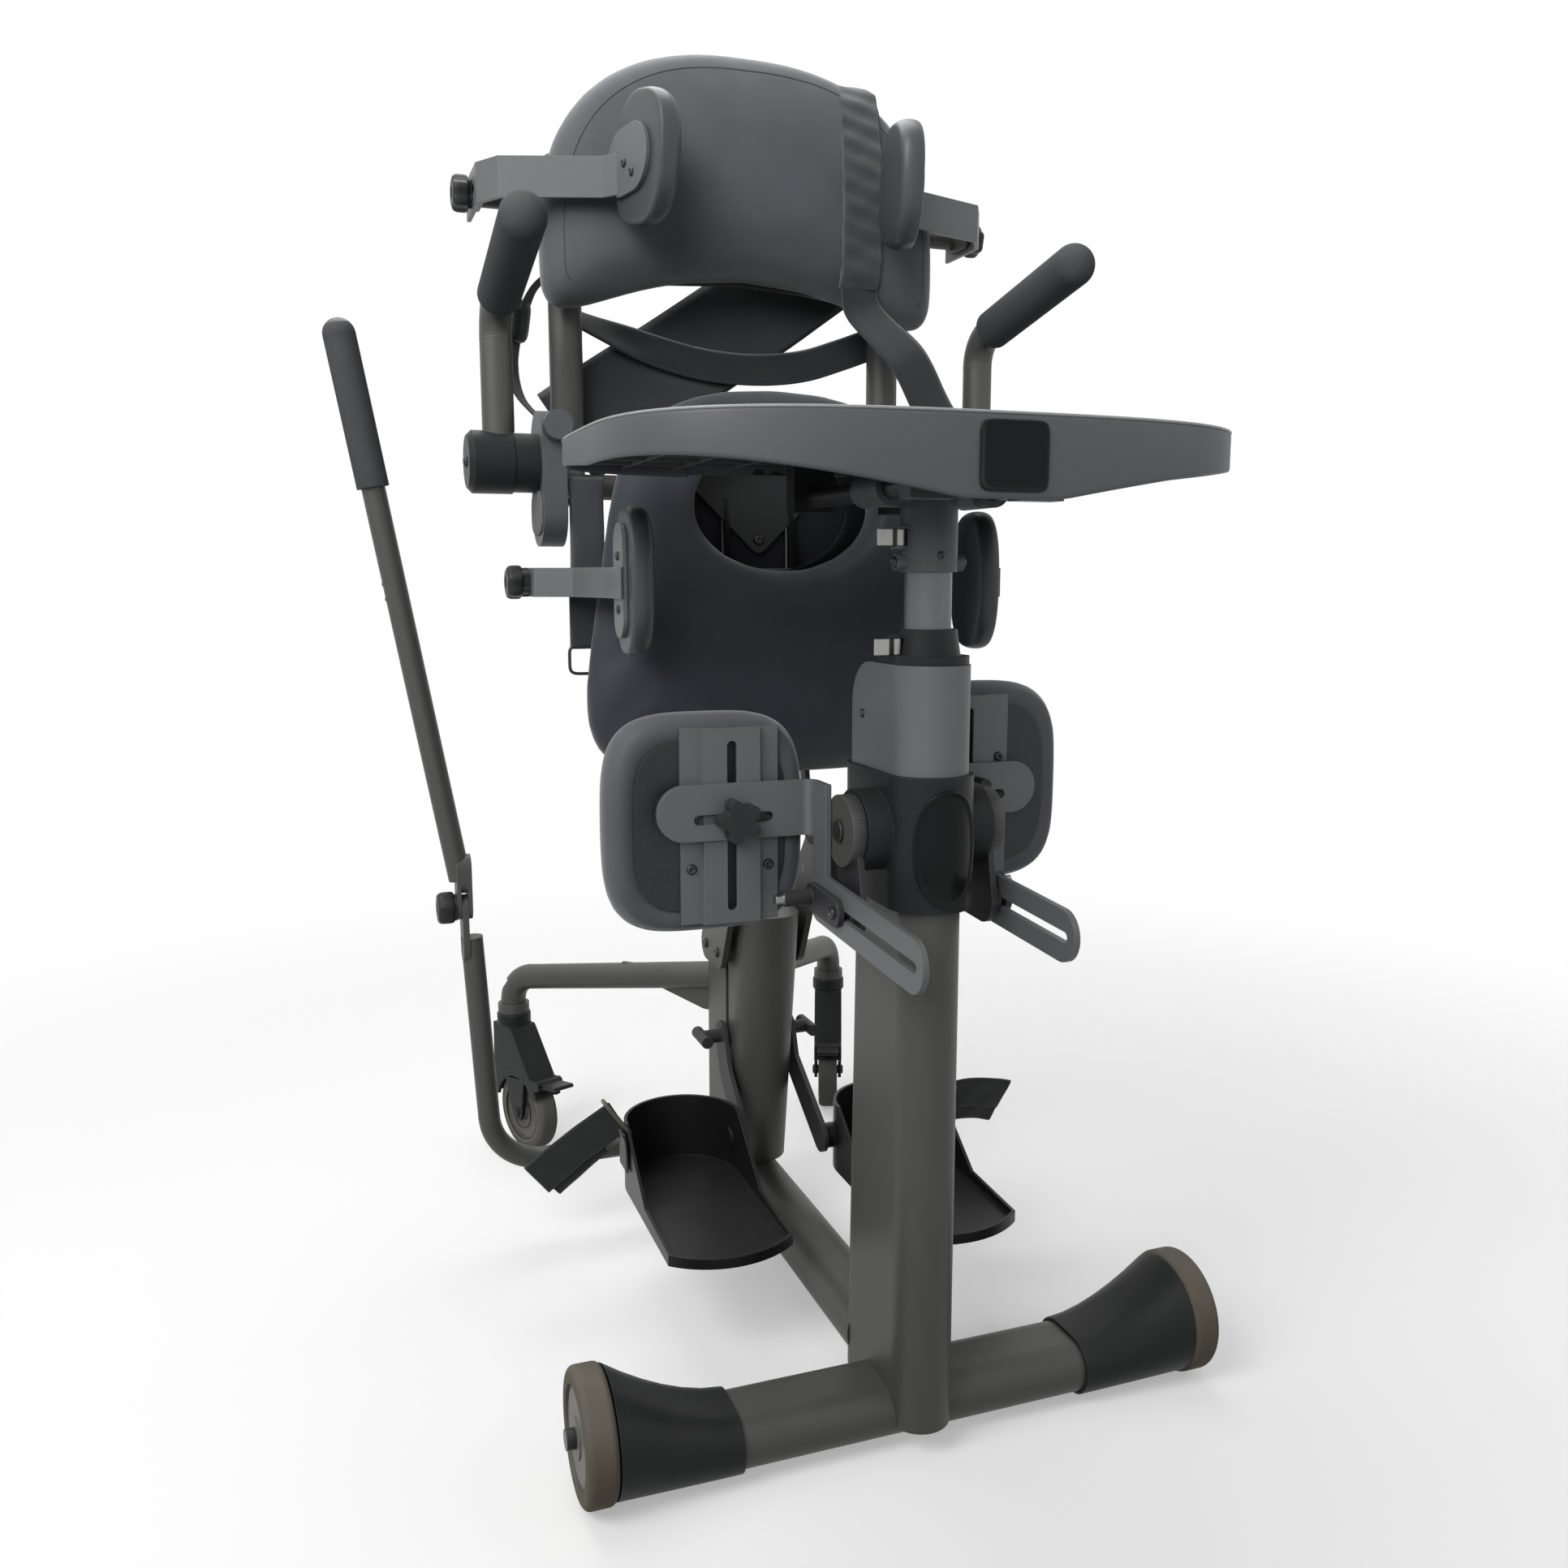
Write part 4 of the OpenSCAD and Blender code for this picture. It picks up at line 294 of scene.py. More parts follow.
def hard_finish(name, color, rough, metallic=0.0, specular=0.5, grain=900.0, drift=0.2, bump=0.06,
                edge=0.0012, worn=(0.2, 0.2, 0.2), wear=0.5, dust=0.1):
    """Paint, plastic or metal: speckled colour, softened and worn edges, and a little dust."""
    material, tree, shader = blank_material(name, ("Metallic", metallic), ("Specular IOR Level", specular))
    coated = group_node(tree, SPECKLE, (("Color", (*color, 1)), ("Scale", grain), ("Drift", drift),
                                        ("Roughness", rough))).outputs
    edges = group_node(tree, SOFT_EDGES, (("Radius", edge),)).outputs
    rubbed = mix_color(tree, times(tree, edges["Edge"], wear), coated["Color"], (*worn, 1))
    film = group_node(tree, DUST, (("Color", rubbed), ("Amount", dust)))
    relief = node(tree, "ShaderNodeBump", (("Strength", bump), ("Distance", 0.0006),
                                           ("Height", coated["Height"]), ("Normal", edges["Normal"])))
    feed(tree, shader, (("Base Color", film.outputs["Color"]), ("Roughness", coated["Roughness"]),
                        ("Normal", relief.outputs[0])))
    return material


def cloth_finish(name, rough, specular, sheen, sheen_rough, make, dust, strength, distance):
    """A soft cover with sheen; make adds its own nodes and gives its colour and its height."""
    material, tree, shader = blank_material(
        name, ("Roughness", rough), ("Metallic", 0.0), ("Specular IOR Level", specular),
        ("Sheen Weight", sheen), ("Sheen Roughness", sheen_rough))
    color, height = make(tree)
    film = group_node(tree, DUST, (("Color", color), ("Amount", dust)))
    relief = node(tree, "ShaderNodeBump",
                  (("Strength", strength), ("Distance", distance), ("Height", height)))
    feed(tree, shader, (("Base Color", film.outputs["Color"]), ("Normal", relief.outputs[0])))
    return material


def pad_finish(name, color, rough, sheen):
    """Coated stretch upholstery."""
    def make(tree):
        skin = group_node(tree, SKIN, (("Scale", 1300.0),)).outputs
        return mix_color(tree, skin["Shade"], scaled(color, 0.82), scaled(color, 1.2)), skin["Height"]
    return cloth_finish(name, rough, 0.25, sheen, 0.45, make, 0.06, 0.12, 0.0008)


def webbing_finish(name, color, rib, thread, rough=0.85):
    """Woven nylon with ribs and a row of stitches near each edge."""
    def make(tree):
        weave = group_node(tree, WEAVE, (("Rib", rib),)).outputs
        # Rib crests are painted lighter and hollows darker: painted light and shade of the weave.
        lit = times(tree, plus(tree, weave["Height"], 1.0), 0.5)
        rib_light_and_shade = mix_color(tree, lit, scaled(color, 0.6), scaled(color, 1.35))
        height = plus(tree, weave["Height"], times(tree, weave["Stitch"], 2.0))
        return mix_color(tree, weave["Stitch"], rib_light_and_shade, (*thread, 1)), height
    return cloth_finish(name, rough, 0.2, 0.25, 0.6, make, 0.08, 0.35, 0.0005)


CHARCOAL = hard_finish("charcoal_powder_coat", (0.046, 0.046, 0.0435), 0.46, specular=0.42, drift=0.12)
BRACKET = hard_finish("grey_bracket_coat", (0.082, 0.086, 0.088), 0.44, specular=0.45, drift=0.14)
BLACK_COAT = hard_finish("black_fine_coat", (0.016, 0.016, 0.018), 0.5, specular=0.3)
BLACK_PLASTIC = hard_finish("black_moulding", (0.0105, 0.0112, 0.0122), 0.44, specular=0.17, grain=1500.0,
                            bump=0.1, worn=(0.06, 0.06, 0.06), dust=0.05)
KNOB_PLASTIC = hard_finish("knob_moulding", (0.018, 0.0185, 0.0195), 0.42, specular=0.2, grain=1600.0,
                           worn=(0.09, 0.09, 0.09), dust=0.06)
FOOT_PLASTIC = hard_finish("foot_plate_moulding", (0.0065, 0.0065, 0.007), 0.36, specular=0.22,
                           grain=1200.0, bump=0.08, worn=(0.06, 0.06, 0.06), dust=0.04)
TRAY_PLASTIC = hard_finish("tray_moulding", (0.052, 0.056, 0.061), 0.5, specular=0.4, grain=1400.0,
                           bump=0.12, worn=(0.14, 0.14, 0.14))
POST_COAT = hard_finish("satin_post", (0.108, 0.114, 0.121), 0.38, metallic=0.4, drift=0.1, bump=0.03)
BRIGHT = hard_finish("bright_steel", (0.30, 0.30, 0.295), 0.32, metallic=1.0, grain=400.0, drift=0.12,
                     bump=0.02, worn=(0.42, 0.42, 0.42), dust=0.03)
DARK_STEEL = hard_finish("blackened_steel", (0.03, 0.03, 0.032), 0.35, metallic=0.6, worn=(0.3, 0.3, 0.3))
TYRE = hard_finish("tyre_rubber", (0.096, 0.084, 0.062), 0.8, specular=0.2, grain=500.0, drift=0.35,
                   bump=0.2, worn=(0.2, 0.18, 0.16), dust=0.3)
CASTER_TYRE = hard_finish("caster_rubber", (0.09, 0.088, 0.082), 0.75, specular=0.2, grain=500.0, drift=0.3,
                          bump=0.15, dust=0.3)
HUB = hard_finish("hub_moulding", (0.105, 0.103, 0.088), 0.5, specular=0.35, bump=0.05)
FOAM = hard_finish("foam_grip", (0.050, 0.053, 0.056), 0.92, specular=0.12, grain=420.0, drift=0.5,
                   bump=0.55, worn=(0.03, 0.03, 0.03))
BOARD = hard_finish("pebbled_board", (0.0165, 0.0175, 0.0195), 0.55, specular=0.35, grain=330.0, drift=1.1,
                    bump=0.9, worn=(0.06, 0.06, 0.06))
GLOSS = hard_finish("gloss_plate", (0.0045, 0.005, 0.0055), 0.2, specular=0.12, drift=0.05, bump=0.0,
                    wear=0.2, dust=0.02)
# Light grey finish of the tray's edge bead: a painted highlight where the edge reflects light.
PAINTED_HIGHLIGHT_BEAD = hard_finish("tray_highlight_bead", (0.20, 0.205, 0.205), 0.4, grain=1400.0, drift=0.15, bump=0.05)
SOFT_BUTTON = hard_finish("soft_button", (0.10, 0.103, 0.10), 0.7, specular=0.25, grain=800.0, bump=0.15)
FOAM_PAD = hard_finish("moulded_pad", (0.036, 0.039, 0.043), 0.4, specular=0.4, grain=1700.0, bump=0.1,
                       edge=0.002, worn=(0.04, 0.04, 0.045), dust=0.05)
PAD_COVER = pad_finish("pad_cover", (0.056, 0.060, 0.067), 0.62, 0.32)
# The seat's cover is a darker, bluer copy of the pad cover: the shade that the seat sits in is painted into
# its colour.
SHADED_SEAT_COVER = pad_finish("seat_cover_painted_shade", (0.019, 0.0225, 0.0285), 0.66, 0.24)
SEAM = pad_finish("pad_seam", (0.038, 0.041, 0.046), 0.7, 0.2)
LINER = pad_finish("liner_cloth", (0.0075, 0.008, 0.0105), 0.85, 0.08)
WEBBING = webbing_finish("nylon_webbing", (0.0135, 0.0155, 0.0185), 0.0016, (0.028, 0.029, 0.032))
FOOT_WEBBING = webbing_finish("foot_webbing", (0.006, 0.007, 0.0075), 0.0016, (0.014, 0.014, 0.015))
BELT_CLOTH = webbing_finish("belt_cloth", (0.026, 0.029, 0.033), 0.0011, (0.05, 0.052, 0.056), 0.7)


# Finishes of the frame's own pieces

PLAIN_PIECES = (
    (CHARCOAL, "frame_paint", ("front_cross_tube", "base_beam", "front_mast", "rear_column", "rear_legs",
                               "back_links", "pump_lever")),
    (BLACK_PLASTIC, "black_plastic", ("wheel_fairings", "knee_housing")),
    (DARK_STEEL, "black_paint", ("hydraulic_pump", "frame_pins")),
    (BRIGHT, "bright_tube", ("lift_cylinder", "lift_rod", "mast_lever", "tray_lever")),
    (POST_COAT, "bright_tube", ("mast_tube",)),
    (TRAY_PLASTIC, "black_plastic", ("tray_head",)))
PLAIN_SIDE_PIECES = (
    (BLACK_PLASTIC, "black_plastic", ("brake_pedal",)),
    (BRACKET, "frame_paint", ("knee_bracket", "hip_bracket", "lateral_bracket")),
    (KNOB_PLASTIC, "black_plastic", ("knee_knob",)),
    (BLACK_COAT, "black_paint", ("foot_arm",)),
    (FOOT_PLASTIC, "foot_plastic", ("foot_plate",)))


def radial(point, centre, way):
    """Distance of a point from the line through centre along way."""
    span = point - centre
    return (span - way * span.dot(way)).length


def to_side(s, v):
    """A place or direction on the left, taken to side s."""
    return Vector((s * v.x, v.y, v.z))


def caster_line(s):
    """The middle of a caster's wheel, and the way its axle runs."""
    return to_side(s, CASTER_AXLE), Vector((math.cos(CASTER_YAW), -s * math.sin(CASTER_YAW), 0))


def paint(name, finish, slot, *parts):
    """Gives a frame piece its finish, and others to the faces that each test in parts picks."""
    piece = NODES[name]
    mesh = piece.data
    mesh.materials.clear()
    mesh.materials.append(finish)
    for _, other in parts:
        mesh.materials.append(other)
    for face in mesh.polygons:
        face.material_index = 0
        for number, (test, _) in enumerate(parts):
            if test(face.center):
                face.material_index = number + 1


def smooth_over(name, degrees):
    """Shades the shallow facets of a frame piece as one curved surface."""
    piece = NODES[name]
    mesh = piece.data
    if "custom_normal" in mesh.attributes:
        mesh.attributes.remove(mesh.attributes["custom_normal"])
    shade_smooth(mesh)
    modify(piece, "WELD", merge_threshold=1e-5)
    modify(piece, "EDGE_SPLIT", split_angle=math.radians(degrees))


def paint_frame():
    for finish, slot, names in PLAIN_PIECES:
        for name in names:
            paint(name, finish, slot)
    paint("mast_sleeve", BRACKET, "frame_paint", (lambda p: p.z > SLEEVE_TOP, BLACK_PLASTIC))
    paint("tray", TRAY_PLASTIC, "tray_plastic",
          (lambda p: abs(abs(p.x) - ROD_X) < BEARER_HALF and p.y > BEARER_Y and p.z < BEARER_TOP,
           BLACK_PLASTIC),
          (lambda p: math.hypot(abs(p.x) - ROD_X, p.z - ROD_Z) < ROD_R, DARK_STEEL))
    along = (HANDLE_TOP - HANDLE_FOOT).normalized()
    paint("pump_handle", CHARCOAL, "frame_paint",
          (lambda p: radial(p, HANDLE_TOP, along) > HANDLE_R and (HANDLE_TOP - p).length < HANDLE_GRIP,
           FOAM),
          (lambda p: p.z < FOLD_TOP and p.x < FOLD_FACE_X, KNOB_PLASTIC))
    paint("seat_frame", CHARCOAL, "frame_paint",
          (lambda p: SPIDER_Y[0] < p.y < SPIDER_Y[1] and abs(p.x) < SPIDER_HALF and p.z > SPIDER_LOW,
           KNOB_PLASTIC),
          (lambda p: HANGER_X[0] < abs(p.x) < HANGER_X[1], GLOSS),
          # The pan's faces inside the widened seat opening are painted gloss black: painted shade of the
          # opening.
          (lambda p: PAN_FRONT_Y < p.y < PAN_BACK_Y - 0.0003, GLOSS),
          (lambda p: abs(p.x) > SEAT_STUD_X, KNOB_PLASTIC))
    paint("back_frame", CHARCOAL, "frame_paint",
          (lambda p: DIAL_X < abs(p.x) < DIAL_CAP_X and p.z < DIAL_TOP, BLACK_PLASTIC),
          (lambda p: DIAL_X < abs(p.x) < DIAL_FACE + 0.0012 and p.z < DIAL_TOP, TRAY_PLASTIC),
          (lambda p: abs(p.x) > BACK_STUD_X, KNOB_PLASTIC))
    smooth_over("wheel_fairings", 34)
    for side, s in SIDES:
        paint_side(side, s)


def paint_side(side, s):
    for finish, slot, names in PLAIN_SIDE_PIECES:
        for name in names:
            paint(f"{name}_{side}", finish, slot)
    wheel = Vector((0, 0, WHEEL_R))
    paint(f"front_wheel_{side}", TYRE, "tyre_rubber", (lambda p: radial(p, wheel, X_AXIS) < HUB_R, HUB))
    axle, way = caster_line(s)
    paint(f"caster_wheel_{side}", CASTER_TYRE, "tyre_rubber",
          (lambda p: radial(p, axle, way) < CASTER_HUB_R, HUB))
    near, far = KNEE_CAP_X
    paint(f"knee_arm_{side}", BLACK_COAT, "black_paint",
          (lambda p: near < abs(p.x) < far and radial(p, KNEE_PIVOT, X_AXIS) < KNEE_CAP_R, CHARCOAL),
          (lambda p: abs(p.x) > PLUNGER_X, BRIGHT))
    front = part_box(f"knee_plate_{side}")[0].y
    paint(f"knee_plate_{side}", BRACKET, "frame_paint", (lambda p: p.y > front + BOARD_STEP, BOARD))
    bend, reach = to_side(s, ARM_BEND), to_side(s, ARM_WAY)
    paint(f"arm_handle_{side}", CHARCOAL, "frame_paint",
          (lambda p: (p - bend).dot(reach) > (ARM_GRIP if radial(p, bend, reach) > ARM_R else ARM_TIP),
           FOAM),
          (lambda p: p.z < ARM_CAP_TOP and abs(p.x) > ARM_CAP_X, BLACK_PLASTIC))


# Mesh helpers

def shade_smooth(mesh):
    mesh.polygons.foreach_set("use_smooth", [True] * len(mesh.polygons))


def modify(piece, kind, **settings):
    made = piece.modifiers.new(kind.lower(), kind)
    for key, value in settings.items():
        setattr(made, key, value)
    return made


def add_piece(name, mesh, finish, body):
    piece = bpy.data.objects.new(name, mesh)
    bpy.context.scene.collection.objects.link(piece)
    mesh.materials.clear()
    mesh.materials.append(finish)
    shade_smooth(mesh)
    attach(piece, body)
    return piece


def mesh_of(name, points, faces):
    mesh = bpy.data.meshes.new(name)
    mesh.from_pydata([tuple(p) for p in points], [], faces)
    mesh.update()
    return mesh


def ring_faces(rings, count, closed_ends=True):
    """Quads between rings of count points each, with a face over each end."""
    faces = []
    for k in range(rings - 1):
        for i in range(count):
            j = (i + 1) % count
            faces.append((k * count + i, k * count + j, (k + 1) * count + j, (k + 1) * count + i))
    if closed_ends:
        faces.append(tuple(reversed(range(count))))
        faces.append(tuple((rings - 1) * count + i for i in range(count)))
    return faces


def ring_mesh(name, rings, flip=False):
    """A closed form through rings of points."""
    faces = ring_faces(len(rings), len(rings[0]))
    if flip:
        faces = [tuple(reversed(f)) for f in faces]
    return mesh_of(name, [p for ring in rings for p in ring], faces)


def placed(rings, origin, u, v, w):
    return [[origin + p[0] * u + p[1] * v + p[2] * w for p in ring] for ring in rings]


def turn_angles(count):
    return [2 * math.pi * i / count for i in range(count)]


def circle(radius, height, sides):
    return [(radius * math.cos(a), radius * math.sin(a), height) for a in turn_angles(sides)]


def way_at(path, k):
    """The way a row of points runs at its point k."""
    return (path[min(k + 1, len(path) - 1)] - path[max(k - 1, 0)]).normalized()


def smooth_path(points, steps):
    """Points of a Catmull-Rom curve through a row of points."""
    rows = [Vector(p) for p in points]
    rows = [2 * rows[0] - rows[1]] + rows + [2 * rows[-1] - rows[-2]]
    out = []
    for k in range(1, len(rows) - 2):
        a, b, c, d = rows[k - 1:k + 3]
        for i in range(steps):
            t = i / steps
            out.append(0.5 * (2 * b + (c - a) * t + (2 * a - 5 * b + 4 * c - d) * t * t
                              + (3 * b - a - 3 * c + d) * t ** 3))
    return out + [rows[-2]]


def tube_mesh(name, path, radius, sides, closed=False):
    """A round tube along a row of points."""
    count = len(path)
    rings = []
    up = None
    for k, p in enumerate(path):
        before = path[k - 1] if k or closed else p
        after = path[(k + 1) % count] if k < count - 1 or closed else p
        way = (after - before).normalized()
        if up is None:
            up = way.orthogonal().normalized()
        up = (up - way * up.dot(way)).normalized()
        side = way.cross(up)
        rings += [p + radius * (math.cos(a) * up + math.sin(a) * side) for a in turn_angles(sides)]
    faces = ring_faces(count, sides, not closed)
    if closed:
        last = (count - 1) * sides
        faces += [(last + i, last + (i + 1) % sides, (i + 1) % sides, i) for i in range(sides)]
    return mesh_of(name, rings, faces)


def join_meshes(name, meshes):
    made = bmesh.new()
    for mesh in meshes:
        made.from_mesh(mesh)
        bpy.data.meshes.remove(mesh)
    out = bpy.data.meshes.new(name)
    made.to_mesh(out)
    made.free()
    return out


def face_outward(mesh, weld=0.0):
    """Turns all faces outward, after points closer than weld are merged."""
    made = bmesh.new()
    made.from_mesh(mesh)
    if weld:
        bmesh.ops.remove_doubles(made, verts=made.verts, dist=weld)
    bmesh.ops.recalc_face_normals(made, faces=made.faces)
    made.to_mesh(mesh)
    made.free()


def scratch_object(mesh):
    made = bpy.data.objects.new(mesh.name + "_work", mesh)
    bpy.context.scene.collection.objects.link(made)
    return made


def shown_mesh(piece):
    """The piece's mesh with its modifiers in it."""
    bpy.context.view_layer.update()
    seen = piece.evaluated_get(bpy.context.evaluated_depsgraph_get())
    return bpy.data.meshes.new_from_object(seen)


def taken(work, *others):
    """The mesh that a scratch object shows; it is removed, with the others."""
    out = shown_mesh(work)
    for used in (work, *others):
        bpy.data.objects.remove(used)
    return out


def surface_of(piece):
    bpy.context.view_layer.update()
    return BVHTree.FromObject(piece, bpy.context.evaluated_depsgraph_get())


# Upholstery

def round_power(v, power):
    return math.copysign(abs(v) ** (2 / power), v)


def plain_outline(half_w, half_h, power, taper=0.0):
    def outline(angle, inset):
        y = (half_h - inset) * round_power(math.sin(angle), power)
        x = (half_w - inset) * (1 - taper * y / half_h) * round_power(math.cos(angle), power)
        return x, y
    return outline


def back_outline(angle, inset):
    up = math.sin(angle) >= 0
    power = BACK_POWERS[0] if up else BACK_POWERS[1]
    x = (BACK_HALF - inset) * round_power(math.cos(angle), power)
    y = ((BACK_UP if up else BACK_DOWN) - inset) * round_power(math.sin(angle), power)
    lift = 0 if up else -y / BACK_DOWN
    return x, y + BACK_ARCH * lift * (1 - (x / BACK_HALF) ** 2)


def outline_ring(outline, sides, inset, height):
    return [(*outline(a, inset), height) for a in turn_angles(sides)]


def pad_rings(outline, thick, crown, edge, reach, sides=120):
    """Rings of a stuffed pad: its back, a round side that draws in at the back, and a crowned face."""
    profile = [(0.75, 0.0), (0.42, 0.03)]
    side_steps, face_steps = 16, 8
    for k in range(1, side_steps):
        a = math.pi * (k / side_steps - 0.5)
        draw, rise = (0.34, 0.38) if a < 0 else (1.15, 0.56)
        profile.append((draw * (1 - math.cos(a) ** 0.9), 0.42 + rise * math.sin(a)))
    rings = [outline_ring(outline, sides, share * edge, height * thick) for share, height in profile]
    start, top = profile[-1][0] * edge, profile[-1][1] * thick
    for k in range(1, face_steps + 1):
        t = k / face_steps
        height = top + (thick - top + crown) * math.sin(t * math.pi / 2)
        rings.append(outline_ring(outline, sides, start + (reach - start) * t, height))
    return rings


def pad_mesh(name, rings, origin, u, v, w):
    return ring_mesh(name, placed(rings, origin, u, v, w), u.cross(v).dot(w) < 0)


def remeshed(mesh, voxel, rounds):
    """The closed form as even quads, slightly smoothed."""
    work = scratch_object(mesh)
    modify(work, "REMESH", mode="VOXEL", voxel_size=voxel)
    modify(work, "SMOOTH", factor=0.5, iterations=rounds)
    return taken(work)


def eased(mesh, rounds):
    work = scratch_object(mesh)
    modify(work, "SMOOTH", factor=0.5, iterations=rounds)
    return taken(work)


def stuffed(mesh, held, cap, pressure, ease):
    """Blows a closed cover up with cloth pressure, then draws it tight with rounds of smoothing (ease).

    Points that the held test picks stay, and others move cap at most."""
    frames = 20
    work = scratch_object(mesh)
    before = np.array([v.co for v in mesh.vertices])
    group = work.vertex_groups.new(name="held")
    group.add([i for i, v in enumerate(mesh.vertices) if held(v.co)], 1.0, "REPLACE")
    cover = modify(work, "CLOTH").settings
    for key, value in (("quality", 4), ("mass", 0.25), ("tension_stiffness", 18),
                       ("compression_stiffness", 18), ("shear_stiffness", 8), ("bending_stiffness", 1.5),
                       ("use_pressure", True), ("uniform_pressure_force", pressure),
                       ("vertex_group_mass", "held")):
        setattr(cover, key, value)
    cover.effector_weights.gravity = 0
    for number in range(1, frames + 1):
        bpy.context.scene.frame_set(number)
    after = shown_mesh(work)
    moved = np.array([v.co for v in after.vertices]) - before
    far = np.linalg.norm(moved, axis=1, keepdims=True)
    moved *= np.minimum(1.0, cap / np.maximum(far, 1e-9))
    after.vertices.foreach_set("co", (before + moved).astype(np.float32).ravel())
    after.update()
    bpy.data.objects.remove(work)
    bpy.context.scene.frame_set(1)
    return eased(after, ease)


def with_hole(mesh, cutter_mesh):
    work = scratch_object(mesh)
    cutter = scratch_object(cutter_mesh)
    modify(work, "BOOLEAN", operation="DIFFERENCE", solver="EXACT", object=cutter)
    return taken(work, cutter)


def cushion(name, cad_node, body, rings, origin, axes, finish, voxel=None, cap=0.0, pressure=4.0, ease=4,
            hole=None):
    """A covered pad in the place of its frame piece."""
    mesh = pad_mesh(name, rings, origin, *axes)
    if hole:
        mesh = with_hole(mesh, hole)
    if voxel:
        mesh = remeshed(mesh, voxel, 6)
        mesh = stuffed(mesh, lambda p: (p - origin).dot(axes[2]) < 2 * voxel, cap, pressure, ease)
    mesh.name = name
    piece = add_piece(name, mesh, finish, body)
    modify(piece, "SUBSURF", levels=1, render_levels=1)
    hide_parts(cad_node)
    return piece


def seat_cushion():
    low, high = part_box("seat_pad")
    middle = Vector((0, high.y, (low.z + high.z) / 2))
    plain = plain_outline(SEAT_HALF, (high.z - low.z) / 2, SEAT_POWER, SEAT_TAPER)

    def outline(angle, inset):
        x, z = plain(angle, inset)
        crown = max(0.0, 1 - (x / SEAT_DOME) ** 2) ** 1.5 * (SEAT_TOP - high.z)
        return x, z + crown * max(0.0, math.sin(angle)) ** 2

    rings = pad_rings(outline, high.y - low.y - 0.012, 0.010, PAD_EDGE, 0.16)
    half_x, half_z = SEAT_HOLE_HALF
    steps = ((high.y + 0.01, 1.0), (low.y + 0.022, 1.0), (low.y + 0.008, 1.06), (low.y - 0.01, 1.2))
    hole = [[Vector((SEAT_HOLE.x + half_x * x, y, SEAT_HOLE.z + half_z * z))
             for x, z, _ in circle(grow, 0, 72)] for y, grow in steps]
    cushion("seat_cushion", "seat_pad", "seat", rings, middle, (X_AXIS, Z_AXIS, -Y_AXIS), SHADED_SEAT_COVER,
            voxel=0.006, cap=0.008, pressure=2.5, ease=10, hole=ring_mesh("seat_hole", hole))


def seat_liner():
    """The dark cloth behind the seat's opening: three panels beside and between the hanger plates."""
    points, faces, flat_area = [], [], 0.0
    low_z, high_z, curl_z = 0.884, 1.060, 1.033
    curl_x, curl_run = 0.124, 0.018
    forward_by = LINER_Y - PAN_BACK_Y - 0.001
    across, up = 16, 24
    for x0, x1 in ((-0.142, -0.0468), (-0.0392, 0.0392), (0.0468, 0.142)):
        start = len(points)
        for k in range(up + 1):
            z = low_z + (high_z - low_z) * k / up
            top = max(0.0, (z - curl_z) / (high_z - curl_z))
            for i in range(across + 1):
                x = x0 + (x1 - x0) * i / across
                forward = max(top, max(0.0, (abs(x) - curl_x) / curl_run))
                sag = 0.0006 * math.sin(90 * x + 40 * z) * math.sin(60 * z)
                points.append(Vector((x, LINER_Y + sag - forward_by * forward ** 2, z)))
        for k in range(up):
            for i in range(across):
                a = start + k * (across + 1) + i
                faces.append((a, a + 1, a + across + 2, a + across + 1))
        flat_area += (x1 - x0) * (high_z - low_z)
    piece = add_piece("seat_liner", mesh_of("seat_liner", points, faces), LINER, "seat")
    modify(piece, "SOLIDIFY", thickness=0.0008)


def back_cushion():
    """The back pad with its seam; out comes its surface, for what lies on it."""
    low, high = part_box("back_pad")
    middle = Vector((0, high.y, BACK_Z))
    rings = pad_rings(back_outline, high.y - low.y - 0.012, 0.010, 0.034, 0.075)
    piece = cushion("back_cushion", "back_pad", "back", rings, middle, (X_AXIS, Z_AXIS, -Y_AXIS), PAD_COVER,
                    voxel=0.006, cap=0.010, pressure=1.5, ease=30)
    surface = surface_of(piece)
    seam = []
    for k in range(121):
        x, z = back_outline(math.radians(-24 + 228 * k / 120), 0.025)
        hit = surface.ray_cast(Vector((x, low.y - 0.2, BACK_Z + z)), Y_AXIS)[0]
        if hit:
            seam.append(hit + 0.0002 * Y_AXIS)
    add_piece("back_seam", tube_mesh("back_seam", seam, 0.0010, 8), SEAM, "back")
    return surface


def knee_cushion(side):
    low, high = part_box(f"knee_pad_{side}")
    middle = Vector(((low.x + high.x) / 2, low.y, (low.z + high.z) / 2))
    outline = plain_outline((high.x - low.x) / 2, (high.z - low.z) / 2, KNEE_POWER)
    rings = pad_rings(outline, high.y - low.y - 0.010, 0.008, PAD_EDGE, 0.08)
    lip = 0.0065
    board = 0.0245
    rim = ((board, 0.0), (board, -0.6 * lip), (board - 0.004, -lip), (board - 0.012, -lip),
           (0.006, -0.45 * lip))
    turned = [outline_ring(outline, len(rings[0]), inset, height) for inset, height in rim]
    cushion(f"knee_cushion_{side}", f"knee_pad_{side}", f"knee_support_{side}", turned + rings[2:], middle,
            (X_AXIS, Z_AXIS, Y_AXIS), PAD_COVER, voxel=0.0045, cap=0.006, pressure=3.0, ease=6)


def guide_axes(s, toe, tilt):
    """Forward, up and inward directions of a guide pad that toes in and leans forward."""
    forward = Vector((-math.sin(toe), -math.cos(toe), 0))
    axes = (math.cos(tilt) * forward - math.sin(tilt) * Z_AXIS,
            math.sin(tilt) * forward + math.cos(tilt) * Z_AXIS,
            Vector((-math.cos(toe), math.sin(toe), 0)))
    return [to_side(s, a) for a in axes]


